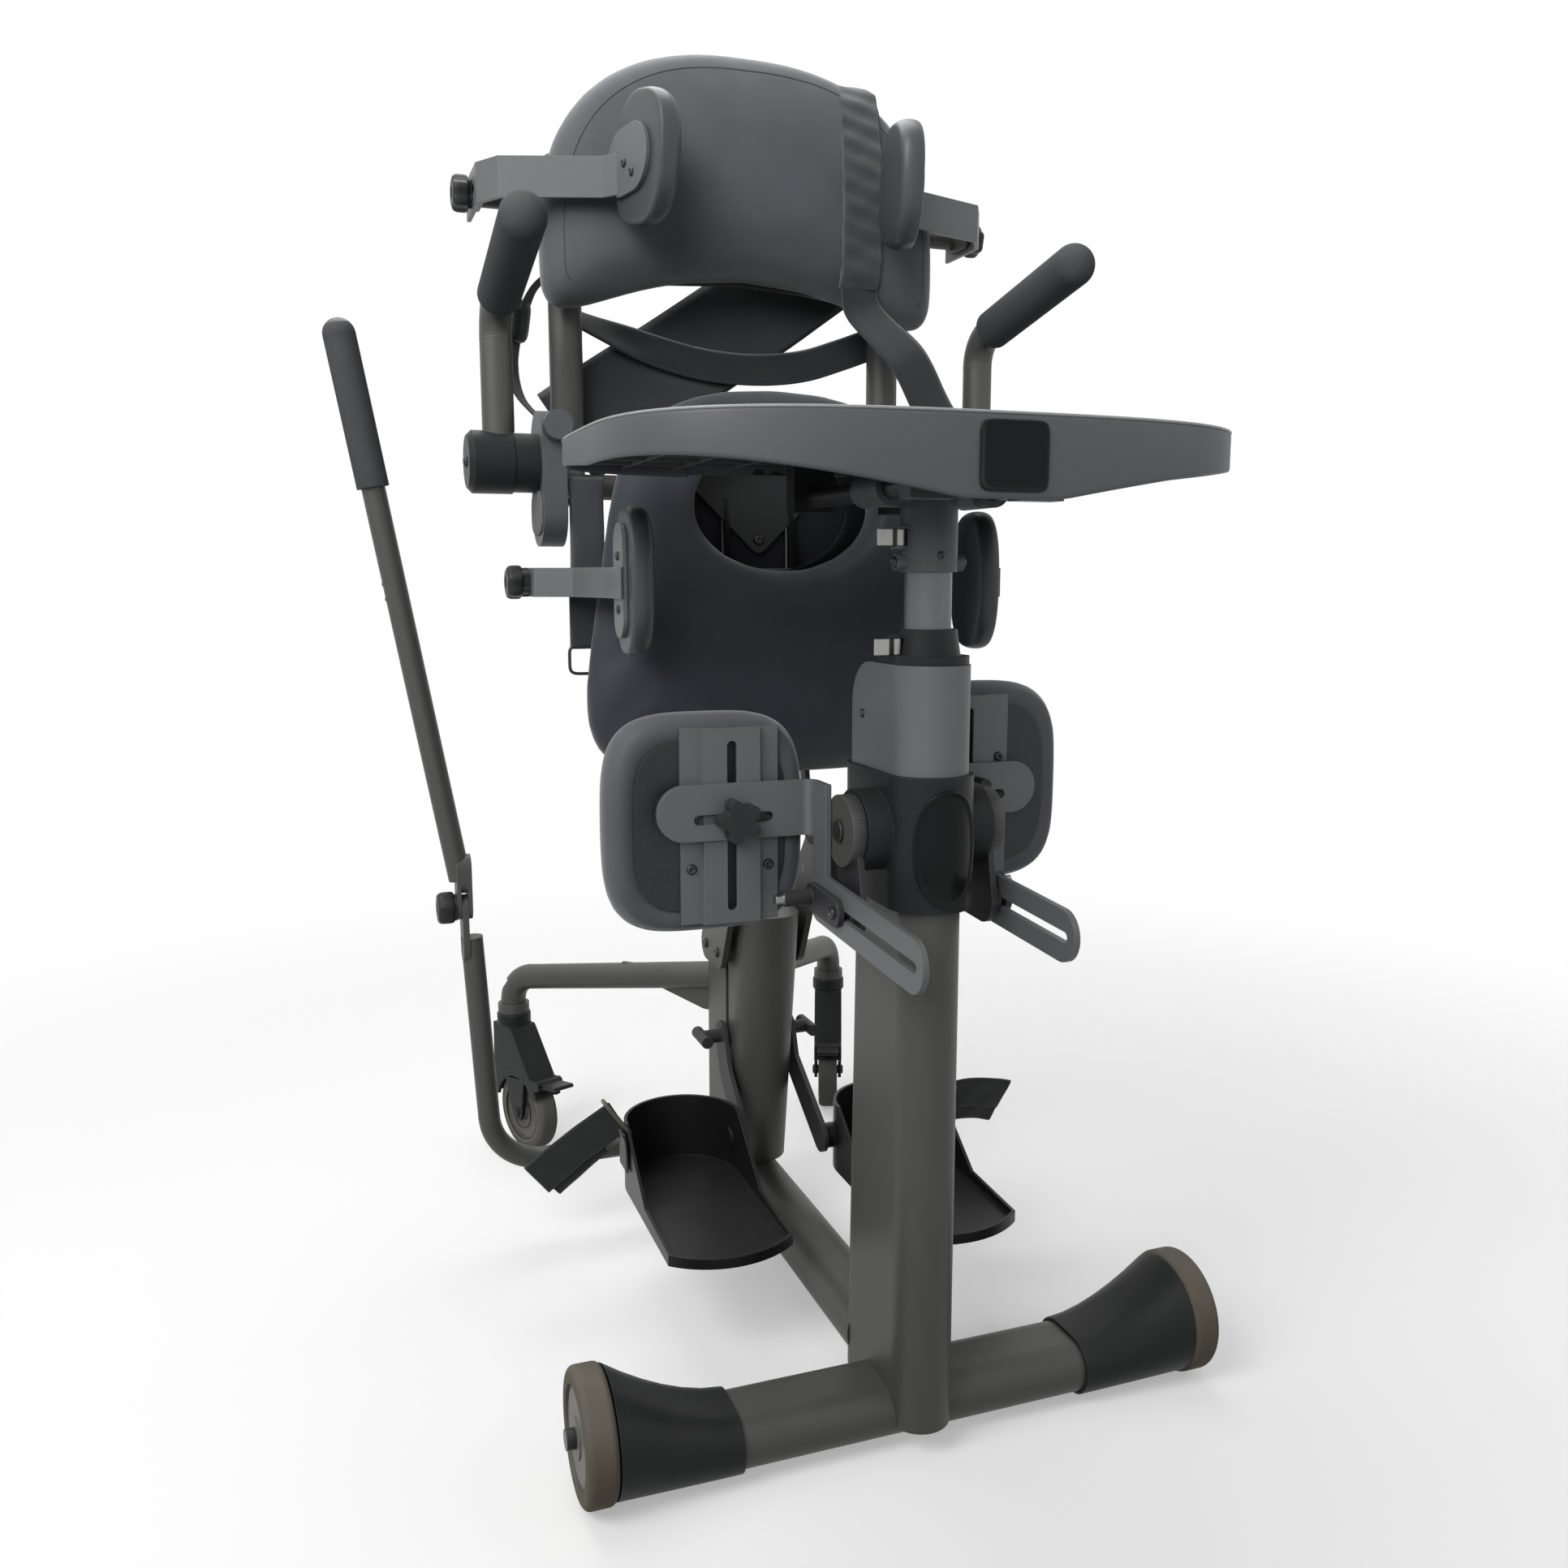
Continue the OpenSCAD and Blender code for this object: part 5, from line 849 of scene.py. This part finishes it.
def guide_pads(side, s):
    low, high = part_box(f"hip_pad_{side}")
    outer = high.x if s > 0 else low.x
    hip_half = ((high.y - low.y) / 2, (high.z - low.z) / 2)
    guide_pad("hip", side, Vector((outer, (low.y + high.y) / 2, (low.z + high.z) / 2)), hip_half,
              high.x - low.x, HIP_POWER, guide_axes(s, 0.0, 0.0))
    guide_pad("lateral", side, to_side(s, LATERAL_AT), LATERAL_HALF, LATERAL_THICK, LATERAL_POWER,
              guide_axes(s, LATERAL_TOE, LATERAL_LEAN))


def guide_pad(kind, side, middle, half, thick, power, axes):
    rings = pad_rings(plain_outline(*half, power), thick - 0.004, 0.004, 0.011, 0.75 * half[0], 72)
    cushion(f"{kind}_cushion_{side}", f"{kind}_pad_{side}", f"{kind}_{side}", rings, middle, axes, FOAM_PAD)


# Straps

def strap_mesh(name, path, across, width, thick, wrinkle, waves):
    """A flat strap along a path; across lists its width direction at even steps from start to end."""
    count = len(path)
    columns = 12
    points, lays, along = [], [], 0.0
    for k, p in enumerate(path):
        if k:
            along += (p - path[k - 1]).length
        way = way_at(path, k)
        place = k / (count - 1) * (len(across) - 1)
        step = min(int(place), len(across) - 2)
        side = across[step].lerp(across[step + 1], place - step)
        side = (side - way * side.dot(way)).normalized()
        out = way.cross(side)
        for face in (1, -1):
            order = range(columns + 1) if face > 0 else range(columns, -1, -1)
            for c in order:
                t = c / columns * 2 - 1
                lift = wrinkle * (math.sin(along / waves * 6.28 + 2.1 * t) * 0.6
                                  + math.sin(along / waves * 3.9 + 1.3 - 3.0 * t) * 0.4)
                round_edge = math.sqrt(max(0.0, 1 - abs(t) ** 8))
                points.append(p + side * (t * width / 2) + out * (lift + face * thick / 2 * round_edge))
                lays.append((along, t * width / 2, width / 2 * (1 - abs(t))))
    mesh = mesh_of(name, points, ring_faces(count, 2 * (columns + 1)))
    lay = mesh.attributes.new("lay", "FLOAT_VECTOR", "POINT")
    lay.data.foreach_set("vector", np.array(lays, np.float32).ravel())
    return mesh


def path_length(path):
    return sum((b - a).length for a, b in zip(path, path[1:]))


def strap(name, points, across, width, thick, body, finish, wrinkle=0.0, waves=0.03):
    """A strap through points given in millimetres."""
    path = smooth_path([Vector(p) * MM for p in points], 10)
    mesh = strap_mesh(name, path, across, width * MM, thick * MM, wrinkle * MM, waves)
    face_outward(mesh, 1e-6)
    piece = add_piece(name, mesh, finish, body)
    path_length(path)
    return piece


def over_back(surface, x, lift, low_lift):
    """Points of a band that runs up the back cushion's face and over its top, raised at its low end."""
    points = [surface.ray_cast(Vector((x, 0.2, z)), Y_AXIS)[0]
              for z in (1.254, 1.272, 1.295, 1.322, 1.355, 1.39, 1.42)]
    centre = Vector((x, 0.515, 1.435))
    for degrees in (8, 24, 40, 56, 72, 88, 100):
        a = math.radians(degrees)
        out = Vector((0, -math.cos(a), math.sin(a)))
        points.append(surface.ray_cast(centre + 0.3 * out, -out)[0])
    raised = []
    for k, p in enumerate(points):
        off = low_lift if k < 2 else lift
        raised.append((p + off * X_AXIS.cross(way_at(points, k)).normalized()) / MM)
    return raised


def chest_harness(surface):
    band_x = 0.140
    band = strap("chest_band", over_back(surface, band_x, 0.0035, 0.0085), (X_AXIS, X_AXIS), 55, 4, "back",
                 BELT_CLOTH, 1.4, 0.026)
    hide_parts("chest_straps")
    under = surface.ray_cast(Vector((band_x, 0.2, 1.266)), Y_AXIS)[0].y / MM
    strap("chest_tail",
          [(140, under - 2.2, 1282), (141, under - 2.4, 1258), (151, under + 3, 1222), (191, 440, 1163),
           (229, 454, 1115), (246, 455, 1090)],
          (X_AXIS, Vector((1, 0, 0.3)), Vector((1, 0, 0.55)), Vector((1, 0, 0.12))), 53, 2.4, "back",
          WEBBING)
    strap("back_webbing",
          [(-219, 604, 1222), (-165, 605, 1202), (-110, 605, 1184), (-50, 605, 1169), (0, 605, 1163),
           (60, 605, 1163), (115, 605, 1171), (165, 605, 1187), (219, 604, 1207)],
          (Vector((0, 0.8, 0.6)), Z_AXIS, Z_AXIS, Z_AXIS), 42, 2.6, "back", WEBBING,
          0.9, 0.11)
    strap("chest_belt",
          [(-214, 612, 1064), (-152, 616, 1107), (-82, 619, 1152), (-22, 619, 1192), (48, 617, 1240),
           (122, 614, 1292), (168, 612, 1325)],
          (Vector((-0.5, 0, 0.8)), Vector((-0.6, 0, 0.8))), 131, 3.4, "back", BELT_CLOTH,
          3.4, 0.13)
    side_strap()


def side_strap():
    """The loose end that hangs beside the back, with its side-release buckle."""
    strap("side_strap",
          [(-238, 590, 1262), (-258, 594, 1240), (-276, 597, 1196), (-285, 597, 1150), (-276, 592, 1112),
           (-252, 584, 1082), (-240, 580, 1066)],
          (Vector((0.3, 1, 0)), Vector((0.7, 0.7, 0)), Vector((0.3, 1, 0))), 30, 2.4, "back", WEBBING,
          0.5, 0.05)
    across = Vector((0.7, 0.7, 0)).normalized()
    along = Vector((-0.15, 0.0, -1)).normalized()
    out = along.cross(across).normalized()
    rings = pad_rings(plain_outline(0.019, 0.027, 4.0), 0.013, 0.001, 0.005, 0.012, 48)
    centre = Vector((-0.2745, 0.5965, 1.205)) - 0.0065 * out
    mesh = pad_mesh("strap_buckle", rings, centre, across, along, out)
    add_piece("strap_buckle", mesh, BLACK_PLASTIC, "back")


def loop_mesh(name, centre, long_way, short_way, half_long, half_short, power, wire):
    """A closed wire ring whose form is a rounded oblong."""
    path = [centre + half_long * round_power(math.cos(a), power) * long_way
            + half_short * round_power(math.sin(a), power) * short_way for a in turn_angles(40)]
    return tube_mesh(name, path, wire, 10, True)


def hip_straps():
    low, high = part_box("hip_belt")
    middle = (low.y + high.y) / 2 / MM
    sleeve = ((222, 1004), (222, 960), (222, 920), (223, 880), (224, 846))
    for side, s in SIDES:
        piece = strap(f"hip_strap_{side}", [(s * 229, middle, z) for z in (895, 860, 830, 799)],
                      (X_AXIS, X_AXIS), 40, 2.6, "seat", WEBBING, 0.3, 0.06)
        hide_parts("hip_belt")
        ring = loop_mesh("hip_ring", Vector((s * 0.229, middle * MM, 0.786)), X_AXIS, Z_AXIS, 0.021, 0.017,
                         5, 0.002)
        add_piece(f"hip_ring_{side}", ring, DARK_STEEL, "seat")
        strap(f"hip_sleeve_{side}", [(s * x, 459, z) for x, z in sleeve], (X_AXIS, X_AXIS), 42, 9, "seat",
              BELT_CLOTH, 0.7, 0.07)


def foot_straps():
    """Each foot's band: a tab on the heel cup, a ring, and the doubled end that hangs outward from it."""
    tab_line = ((210.6, 160), (210.8, 180), (212, 198), (216, 210))
    ends = {"right": ([(216, 0, 226), (240, 2, 212), (268, 5, 193), (296, 8, 172), (318, 10, 155)],
                      [(240, 9, 196), (262, 11, 180), (284, 13, 162), (303, 15, 146)],
                      Vector((0.58, 0.10, -0.82))),
            "left": ([(214, 0, 208), (236, -2, 210), (258, -3, 209), (280, -3, 205), (299, -2, 200)],
                     [(228, 8, 188), (250, 8, 188), (272, 7, 185), (292, 6, 180)],
                     Vector((-0.08, 0.35, -0.93)))}
    for side, s in SIDES:
        low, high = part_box(f"foot_strap_{side}")
        y = (low.y + high.y) / 2 / MM
        body = f"foot_{side}"
        outer, inner, wide = ends[side]
        tab = strap(f"foot_tab_{side}", [(s * x, y, z) for x, z in tab_line], (Y_AXIS, Y_AXIS), 42, 3, body,
                    FOOT_WEBBING)
        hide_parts(f"foot_strap_{side}")
        strap(f"foot_band_{side}", [(s * x, y + dy, z) for x, dy, z in outer], (wide, wide), 50, 3.4, body,
              FOOT_WEBBING, 0.6, 0.045)
        strap(f"foot_band_fold_{side}", [(s * x, y + dy, z) for x, dy, z in inner], (wide, wide), 46, 3.2,
              body, FOOT_WEBBING, 0.5, 0.05)
        x, dy, z = outer[0]
        ring = loop_mesh("foot_ring", Vector((s * (x + 3), y + dy, z)) * MM, wide.normalized(), Y_AXIS,
                         0.029, 0.0075, 4, 0.0024)
        add_piece(f"foot_ring_{side}", ring, HUB, body)


# Plates and fasteners

def axes_round(way):
    """Two directions square to way, and way itself at length 1."""
    way = way.normalized()
    u = way.orthogonal().normalized()
    return u, way.cross(u), way


def dome_screw(point, way, radius, height):
    """A cap screw's round head with a hexagon socket."""
    sides = 24
    profile = ((1.0, -0.3), (1.0, 0.35), (0.94, 0.6), (0.78, 0.85), (0.56, 1.0))
    rings = [circle(radius * share, height * rise, sides) for share, rise in profile]
    for share, depth in ((0.5, 1.0), (0.47, 0.95), (0.45, 0.35)):
        ring = []
        for a in turn_angles(sides):
            wall = radius * share * math.cos(math.pi / 6) / math.cos((a % (math.pi / 3)) - math.pi / 6)
            ring.append((wall * math.cos(a), wall * math.sin(a), depth * height))
        rings.append(ring)
    return ring_mesh("screw", placed(rings, point, *axes_round(way)))


def screws(name, body, places):
    meshes = [dome_screw(Vector(p) * MM, Vector(way), r * MM, 0.55 * r * MM) for p, way, r in places]
    add_piece(name, join_meshes(name, meshes), DARK_STEEL, body)


def bent_plate(name, half_w, half_h, power, radius, centre, thick, rim):
    """A plate with a raised rim that faces -Y, bent round an upright cylinder; radius None is flat."""
    profile = ((0.0, 0.0), (0.0, 0.8), (0.25, 1.0), (0.75, 1.0), (1.0, 0.62), (2.2, 0.62), (4.0, 0.64),
               (6.0, 0.66), (8.0, 0.68), (9.2, 0.68))
    rings = []
    for share, height in profile:
        ring = []
        out = thick * height
        for a in turn_angles(72):
            x = (half_w - share * rim) * round_power(math.cos(a), power)
            z = (half_h - share * rim) * round_power(math.sin(a), power)
            y = -out
            if radius:
                turn = x / radius
                x, y = (radius + out) * math.sin(turn), radius - (radius + out) * math.cos(turn)
            ring.append(centre + Vector((x, y, z)))
        rings.append(ring)
    return ring_mesh(name, rings, True)


def bare_plates():
    badge = bent_plate("housing_badge", 0.033, 0.056, 2.2, 0.043, Vector((0, -0.076, 0.633)), 0.0035,
                       0.0035)
    add_piece("housing_badge", badge, GLOSS, "base")
    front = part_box("tray")[0].y - 0.0012
    label = bent_plate("tray_label", 0.032, 0.029, 8.0, None, Vector((0, front, 0.984)), 0.0022, 0.0022)
    add_piece("tray_label", label, GLOSS, "tray")


def tray_edge():
    """The tray's outer edge, open at the belly cut."""
    path = []
    turns = 240
    for k in range(turns + 1):
        a = math.pi / 2 + 2 * math.pi * k / turns
        power = TRAY_POWERS[0] if math.sin(a) > 0 else TRAY_POWERS[1]
        p = TRAY_MIDDLE + Vector((TRAY_HALF[0] * round_power(math.cos(a), power),
                                  TRAY_HALF[1] * round_power(math.sin(a), power), 0))
        if math.hypot(p.x, p.y - BELLY_Y) > BELLY_R:
            path.append(p)
    return path


def tray_highlight_bead():
    """The bead along the tray's upper edge; its light grey colour is a painted highlight of the edge's
    reflection.
    """
    mesh = tube_mesh("tray_highlight_bead", tray_edge(), 0.0014, 8)
    add_piece("tray_highlight_bead", mesh, PAINTED_HIGHLIGHT_BEAD, "tray")


def skirt_depth(p):
    """How far the tray's outer wall reaches down: deepest at the nose, shallow at the back."""
    if p.y < TRAY_MIDDLE.y:
        rise, power = SKIRT_SLOPE
        return min(SKIRT_NOSE, SKIRT_LOW + rise * max(0.0, 1 - abs(p.x) / TRAY_HALF[0]) ** power)
    back = min(1.0, (p.y - TRAY_MIDDLE.y) / SKIRT_RUN)
    return SKIRT_LOW + (SKIRT_BACK - SKIRT_LOW) * back


def tray_skirt():
    """The smooth outer wall of the tray, over the edge of its plate."""
    path = tray_edge()
    rings = []
    for k, p in enumerate(path):
        out = way_at(path, k).cross(Z_AXIS)
        low = -skirt_depth(p)
        profile = ((-0.002, -0.0004), (0.0004, -0.0012), (0.0009, -0.004), (0.0010, low + 0.004),
                   (0.0006, low + 0.0015), (-0.0006, low + 0.0003), (-0.0022, low), (-0.0040, low + 0.0008),
                   (-0.0046, low + 0.003), (-0.0046, -0.006))
        rings.append([p + side * out + height * Z_AXIS for side, height in profile])
    add_piece("tray_skirt", ring_mesh("tray_skirt", rings), TRAY_PLASTIC, "tray")


def dial_inserts():
    """The grey rubber insert in the lower end of each dial plate."""
    rings = pad_rings(plain_outline(0.033, 0.027, 3.0), 0.0035, 0.0006, 0.003, 0.02, 64)
    for side, s in SIDES:
        centre = Vector((s * (DIAL_FACE - 0.0003), DIAL_FOOT.y, DIAL_FOOT.z))
        mesh = pad_mesh("dial_insert", rings, centre, Y_AXIS, Z_AXIS, s * X_AXIS)
        add_piece(f"dial_insert_{side}", mesh, SOFT_BUTTON, "back")


def hub_rings():
    """Thin black rings on the faces of the caster hubs: painted shade of the hubs' concentric grooves."""
    for side, s in SIDES:
        axle, way = caster_line(s)
        flat = way.cross(Z_AXIS).normalized()
        wheel = NODES[f"caster_wheel_{side}"].data
        reach = max(abs((v.co - axle).dot(way)) for v in wheel.vertices
                    if radial(v.co, axle, way) < 0.9 * CASTER_HUB_R)
        loops = [loop_mesh("hub_ring", axle + face * (reach - 0.0004) * way, flat, Z_AXIS, share * CASTER_R,
                           share * CASTER_R, 2, 0.0009) for face in (1, -1) for share in (0.43, 0.72)]
        add_piece(f"hub_rings_{side}", join_meshes("hub_rings", loops), BLACK_PLASTIC,
                  f"caster_wheel_{side}")


def arc(radius, start, stop, middle=(0, 0), count=30):
    """Points along a circle between two angles in degrees."""
    turn = [math.radians(start + (stop - start) * k / count) for k in range(count + 1)]
    return [(middle[0] + radius * math.cos(a), middle[1] + radius * math.sin(a)) for a in turn]


def plate_mesh(name, outline, near, far, place):
    """A plate between two distances across; its outline lists places along and up."""
    return ring_mesh(name, [[place(across, along, up) for along, up in outline] for across in (near, far)])


def caster_forks():
    """Each caster's hood over the top of its wheel, with a narrow leg down to the axle on both faces."""
    hood_half, stem = 22.5, 38
    hood = [(-57, 37), (-50, 49), (10, 128), (14, 132), (64, 132), (64, 112), (67, 18)] + arc(65, 15, 147)
    flange = arc(66, 15, 147) + arc(57, 147, 15)
    leg = [(-22, 57)] + arc(14, 185, 345, count=20) + [(32, 50)]
    ear = [(-38, 62)] + arc(8, 50, 250, (-56, 56.5), 16) + [(-38, 44)]
    nut = arc(7.5, 0, 300, count=5)
    cheeks = ((flange, 17.2, hood_half), (leg, 17.2, hood_half), (ear, 17.5, 22.3), (nut, 15.2, 25.5))
    for side, s in SIDES:
        axle, way = caster_line(s)
        back = Vector((s * math.sin(CASTER_YAW), math.cos(CASTER_YAW), 0))

        def place(across, along, up):
            return axle + MM * (across * way + along * back + up * Z_AXIS)

        parts = [plate_mesh("hood", hood, -hood_half, hood_half, place)]
        for face in (1, -1):
            parts += [plate_mesh("cheek", outline, face * near, face * far, place)
                      for outline, near, far in cheeks]
        disc = [[place(x, stem + y, z) for x, y, z in circle(r, up, 48)]
                for r, up in ((24.5, 131), (26, 132.5), (26, 148.5), (24.5, 150))]
        parts.append(ring_mesh("disc", disc))
        mesh = join_meshes("caster_hood", parts)
        face_outward(mesh)
        piece = add_piece(f"caster_hood_{side}", mesh, BLACK_PLASTIC, f"caster_{side}")
        modify(piece, "BEVEL", width=0.0014, segments=2, limit_method="ANGLE", angle_limit=math.radians(35))
        modify(piece, "WEIGHTED_NORMAL")
        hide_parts(f"caster_fork_{side}")


def star_knob(name, body, centre, way, radius, thick, neck):
    """A six-lobed hand knob on a short neck; way points out from what it clamps."""
    profile = ((0.32, -neck / thick), (0.32, -0.12), (0.80, -0.10), (0.95, -0.02), (1.0, 0.14), (1.0, 0.62),
               (0.96, 0.82), (0.86, 0.95), (0.70, 1.0), (0.40, 1.0), (0.34, 0.93), (0.10, 0.93))
    rings = []
    for share, height in profile:
        lobes = 0.07 if share > 0.7 else 0.0
        ring = []
        for a in turn_angles(96):
            r = radius * share * (1 - lobes + lobes * math.cos(6 * a))
            ring.append((r * math.cos(a), r * math.sin(a), height * thick))
        rings.append(ring)
    mesh = ring_mesh(name, placed(rings, centre, *axes_round(way)))
    add_piece(name, mesh, KNOB_PLASTIC, body)


def hand_knobs():
    """The hand knobs of the hip and lateral guides and of the pump handle's hinge, over their studs."""
    star_knob("fold_hand_knob", "pump_handle", FOLD_KNOB, -X_AXIS, 0.0222, 0.019, 0.004)
    for side, s in SIDES:
        star_knob(f"hip_hand_knob_{side}", "seat", to_side(s, HIP_KNOB), s * X_AXIS, 0.0205, 0.017, 0.0092)
        star_knob(f"lateral_hand_knob_{side}", "back", to_side(s, LATERAL_KNOB), s * X_AXIS, 0.0215, 0.018,
                  0.005)


def on_lateral(s, out, back, z):
    """A point over the turned back of a lateral pad, out from it and back along it, in millimetres."""
    x = LATERAL_AT.x / MM + out * math.cos(LATERAL_TOE) + back * math.sin(LATERAL_TOE)
    y = LATERAL_AT.y / MM - out * math.sin(LATERAL_TOE) + back * math.cos(LATERAL_TOE)
    return s * x, y, z


def pair(x, y, z, radius):
    """Two screws that face out to the left and the right."""
    return [((s * x, y, z), (s, 0, 0), radius) for s in (1, -1)]


def fasteners():
    screws("sleeve_screws", "base",
           pair(37.9, 40, 752, 4.5) + pair(58.2, 470, 395, 7) + pair(58.2, 520, 395, 7))
    screws("head_screws", "tray_mast", pair(35.0, -25, 899, 5.5) + [((0, -52, 905), (0, -1, 0), 4)])
    screws("spider_screws", "seat",
           [((x, 465.2, z), (0, -1, 0), 7) for x, z in ((-88, 1014), (0, 932), (88, 1014))])
    for side, s in SIDES:
        outward = (s, 0, 0)
        low, high = (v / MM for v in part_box(f"knee_plate_{side}"))
        mid_x = (low.x + high.x) / 2 - s * 19
        mid_z = (low.z + high.z) / 2
        screws(f"knee_screws_{side}", f"knee_support_{side}",
               [((mid_x + dx, low.y + 8, mid_z + dz), (0, -1, 0), 5.5)
                for dx in (-40, 40) for dz in (-42, 30)])
        screws(f"hip_screws_{side}", f"hip_{side}", [((s * 227.4, 277, z), outward, 5) for z in (850, 908)])
        face = (s * math.cos(LATERAL_TOE), -math.sin(LATERAL_TOE), 0)
        screws(f"lateral_screws_{side}", f"lateral_{side}",
               [(on_lateral(s, 5.4, back, z), face, 5) for back, z in ((2, 1338), (22, 1352))])
        screws(f"arm_screws_{side}", f"arm_{side}", [((s * 358.8, 490, 1021), outward, 7)])
        screws(f"clamp_screws_{side}", f"knee_arm_{side}", [((s * 93.7, -21, 567.5), outward, 6)])
    screws("handle_buttons", "pump_handle",
           [((-454, 530, 860), (-1, 0, 0.2), 4), ((-457, 530, 878), (-1, 0, 0.2), 4)])


# Studio

CAMERA_AT = (-0.570, -1.190, 0.886)
CAMERA_YAW = math.radians(20.06)
CAMERA_DOWN = math.radians(8.72)
CAMERA_LENS = 31.08
SENSOR = 36
SKY_LIGHT = 0.25
FLOOR_R = 9.0
FLOOR_Y = 0.4


def seen_rays(tree):
    """1 for what the camera sees, straight, mirrored or through glass; 0 for light that falls on things."""
    rays = node(tree, "ShaderNodeLightPath").outputs
    direct = plus(tree, rays["Is Camera Ray"], rays["Is Glossy Ray"])
    return plus(tree, direct, rays["Is Transmission Ray"], True)


def studio():
    scene = bpy.context.scene
    scene.view_settings.view_transform = "Standard"
    camera = bpy.data.objects.new("camera", bpy.data.cameras.new("camera"))
    scene.collection.objects.link(camera)
    camera.data.sensor_width = SENSOR
    camera.data.sensor_fit = "HORIZONTAL"
    camera.data.lens = CAMERA_LENS
    camera.data.clip_start = 0.05
    camera.location = CAMERA_AT
    camera.rotation_euler = (math.pi / 2 - CAMERA_DOWN, 0, -CAMERA_YAW)
    scene.camera = camera
    world = bpy.data.worlds.new("studio")
    scene.world = world
    world.use_nodes = True
    tree = world.node_tree
    strength = plus(tree, times(tree, seen_rays(tree), 1 - SKY_LIGHT), SKY_LIGHT)
    feed(tree, tree.nodes["Background"], (("Color", (1, 1, 1, 1)), ("Strength", strength)))
    area_light("key", (-2.5, -1.1, 2.9), (0, 0.3, 1.0), 1.8, 88)
    area_light("fill", (2.4, -1.4, 1.9), (0, 0.3, 0.8), 2.0, 8)
    area_light("top", (-0.2, 1.2, 3.3), (0, 0.4, 1.0), 2.2, 52)
    area_light("front", (-1.5, -2.1, 2.0), (0, 0.4, 1.24), 1.4, 6.5, math.radians(42), False)
    floor()


def area_light(name, place, target, size, power, spread=math.pi, mirrored=True):
    lamp = bpy.data.objects.new(name, bpy.data.lights.new(name, "AREA"))
    bpy.context.scene.collection.objects.link(lamp)
    lamp.data.size = size
    lamp.data.energy = power
    lamp.data.spread = spread
    lamp.visible_glossy = mirrored
    lamp.location = place
    lamp.rotation_euler = (Vector(target) - Vector(place)).to_track_quat("-Z", "Y").to_euler()


def floor():
    """A pale floor that shows the shadow, and throws less light back than it seems to."""
    points = [(x, FLOOR_Y + y, z) for x, y, z in circle(FLOOR_R, 0, 96)]
    mesh = mesh_of("floor", points, [tuple(range(len(points)))])
    piece = bpy.data.objects.new("floor", mesh)
    bpy.context.scene.collection.objects.link(piece)
    material, tree, shader = blank_material("pale_floor", ("Roughness", 0.9), ("Metallic", 0.0),
                                            ("Specular IOR Level", 0.1))
    seen = seen_rays(tree)
    shade = mix_color(tree, seen, (0.36, 0.36, 0.355, 1), (0.93, 0.93, 0.925, 1))
    feed(tree, shader, (("Base Color", shade),))
    glow = node(tree, "ShaderNodeEmission", (("Color", (1, 1, 1, 1)), ("Strength", 1.0)))
    away = node(tree, "ShaderNodeVectorMath", ((0, object_place(tree)), (1, (0.0, FLOOR_Y, 0.0))),
                operation="DISTANCE")
    far = node(tree, "ShaderNodeMapRange", (("Value", away.outputs["Value"]), ("From Min", 0.6),
                                            ("From Max", 2.4), ("To Min", 0.35)),
               interpolation_type="SMOOTHSTEP")
    share = times(tree, far.outputs["Result"], seen, True)
    blend = node(tree, "ShaderNodeMixShader", ((0, share), (1, shader.outputs[0]), (2, glow.outputs[0])))
    feed(tree, tree.nodes["Material Output"], (("Surface", blend.outputs[0]),))
    mesh.materials.append(material)


studio()
paint_frame()
seat_cushion()
seat_liner()
back_surface = back_cushion()
for side_name, side_sign in SIDES:
    knee_cushion(side_name)
    guide_pads(side_name, side_sign)
chest_harness(back_surface)
hip_straps()
foot_straps()
bare_plates()
tray_skirt()
tray_highlight_bead()
dial_inserts()
hub_rings()
caster_forks()
hand_knobs()
fasteners()
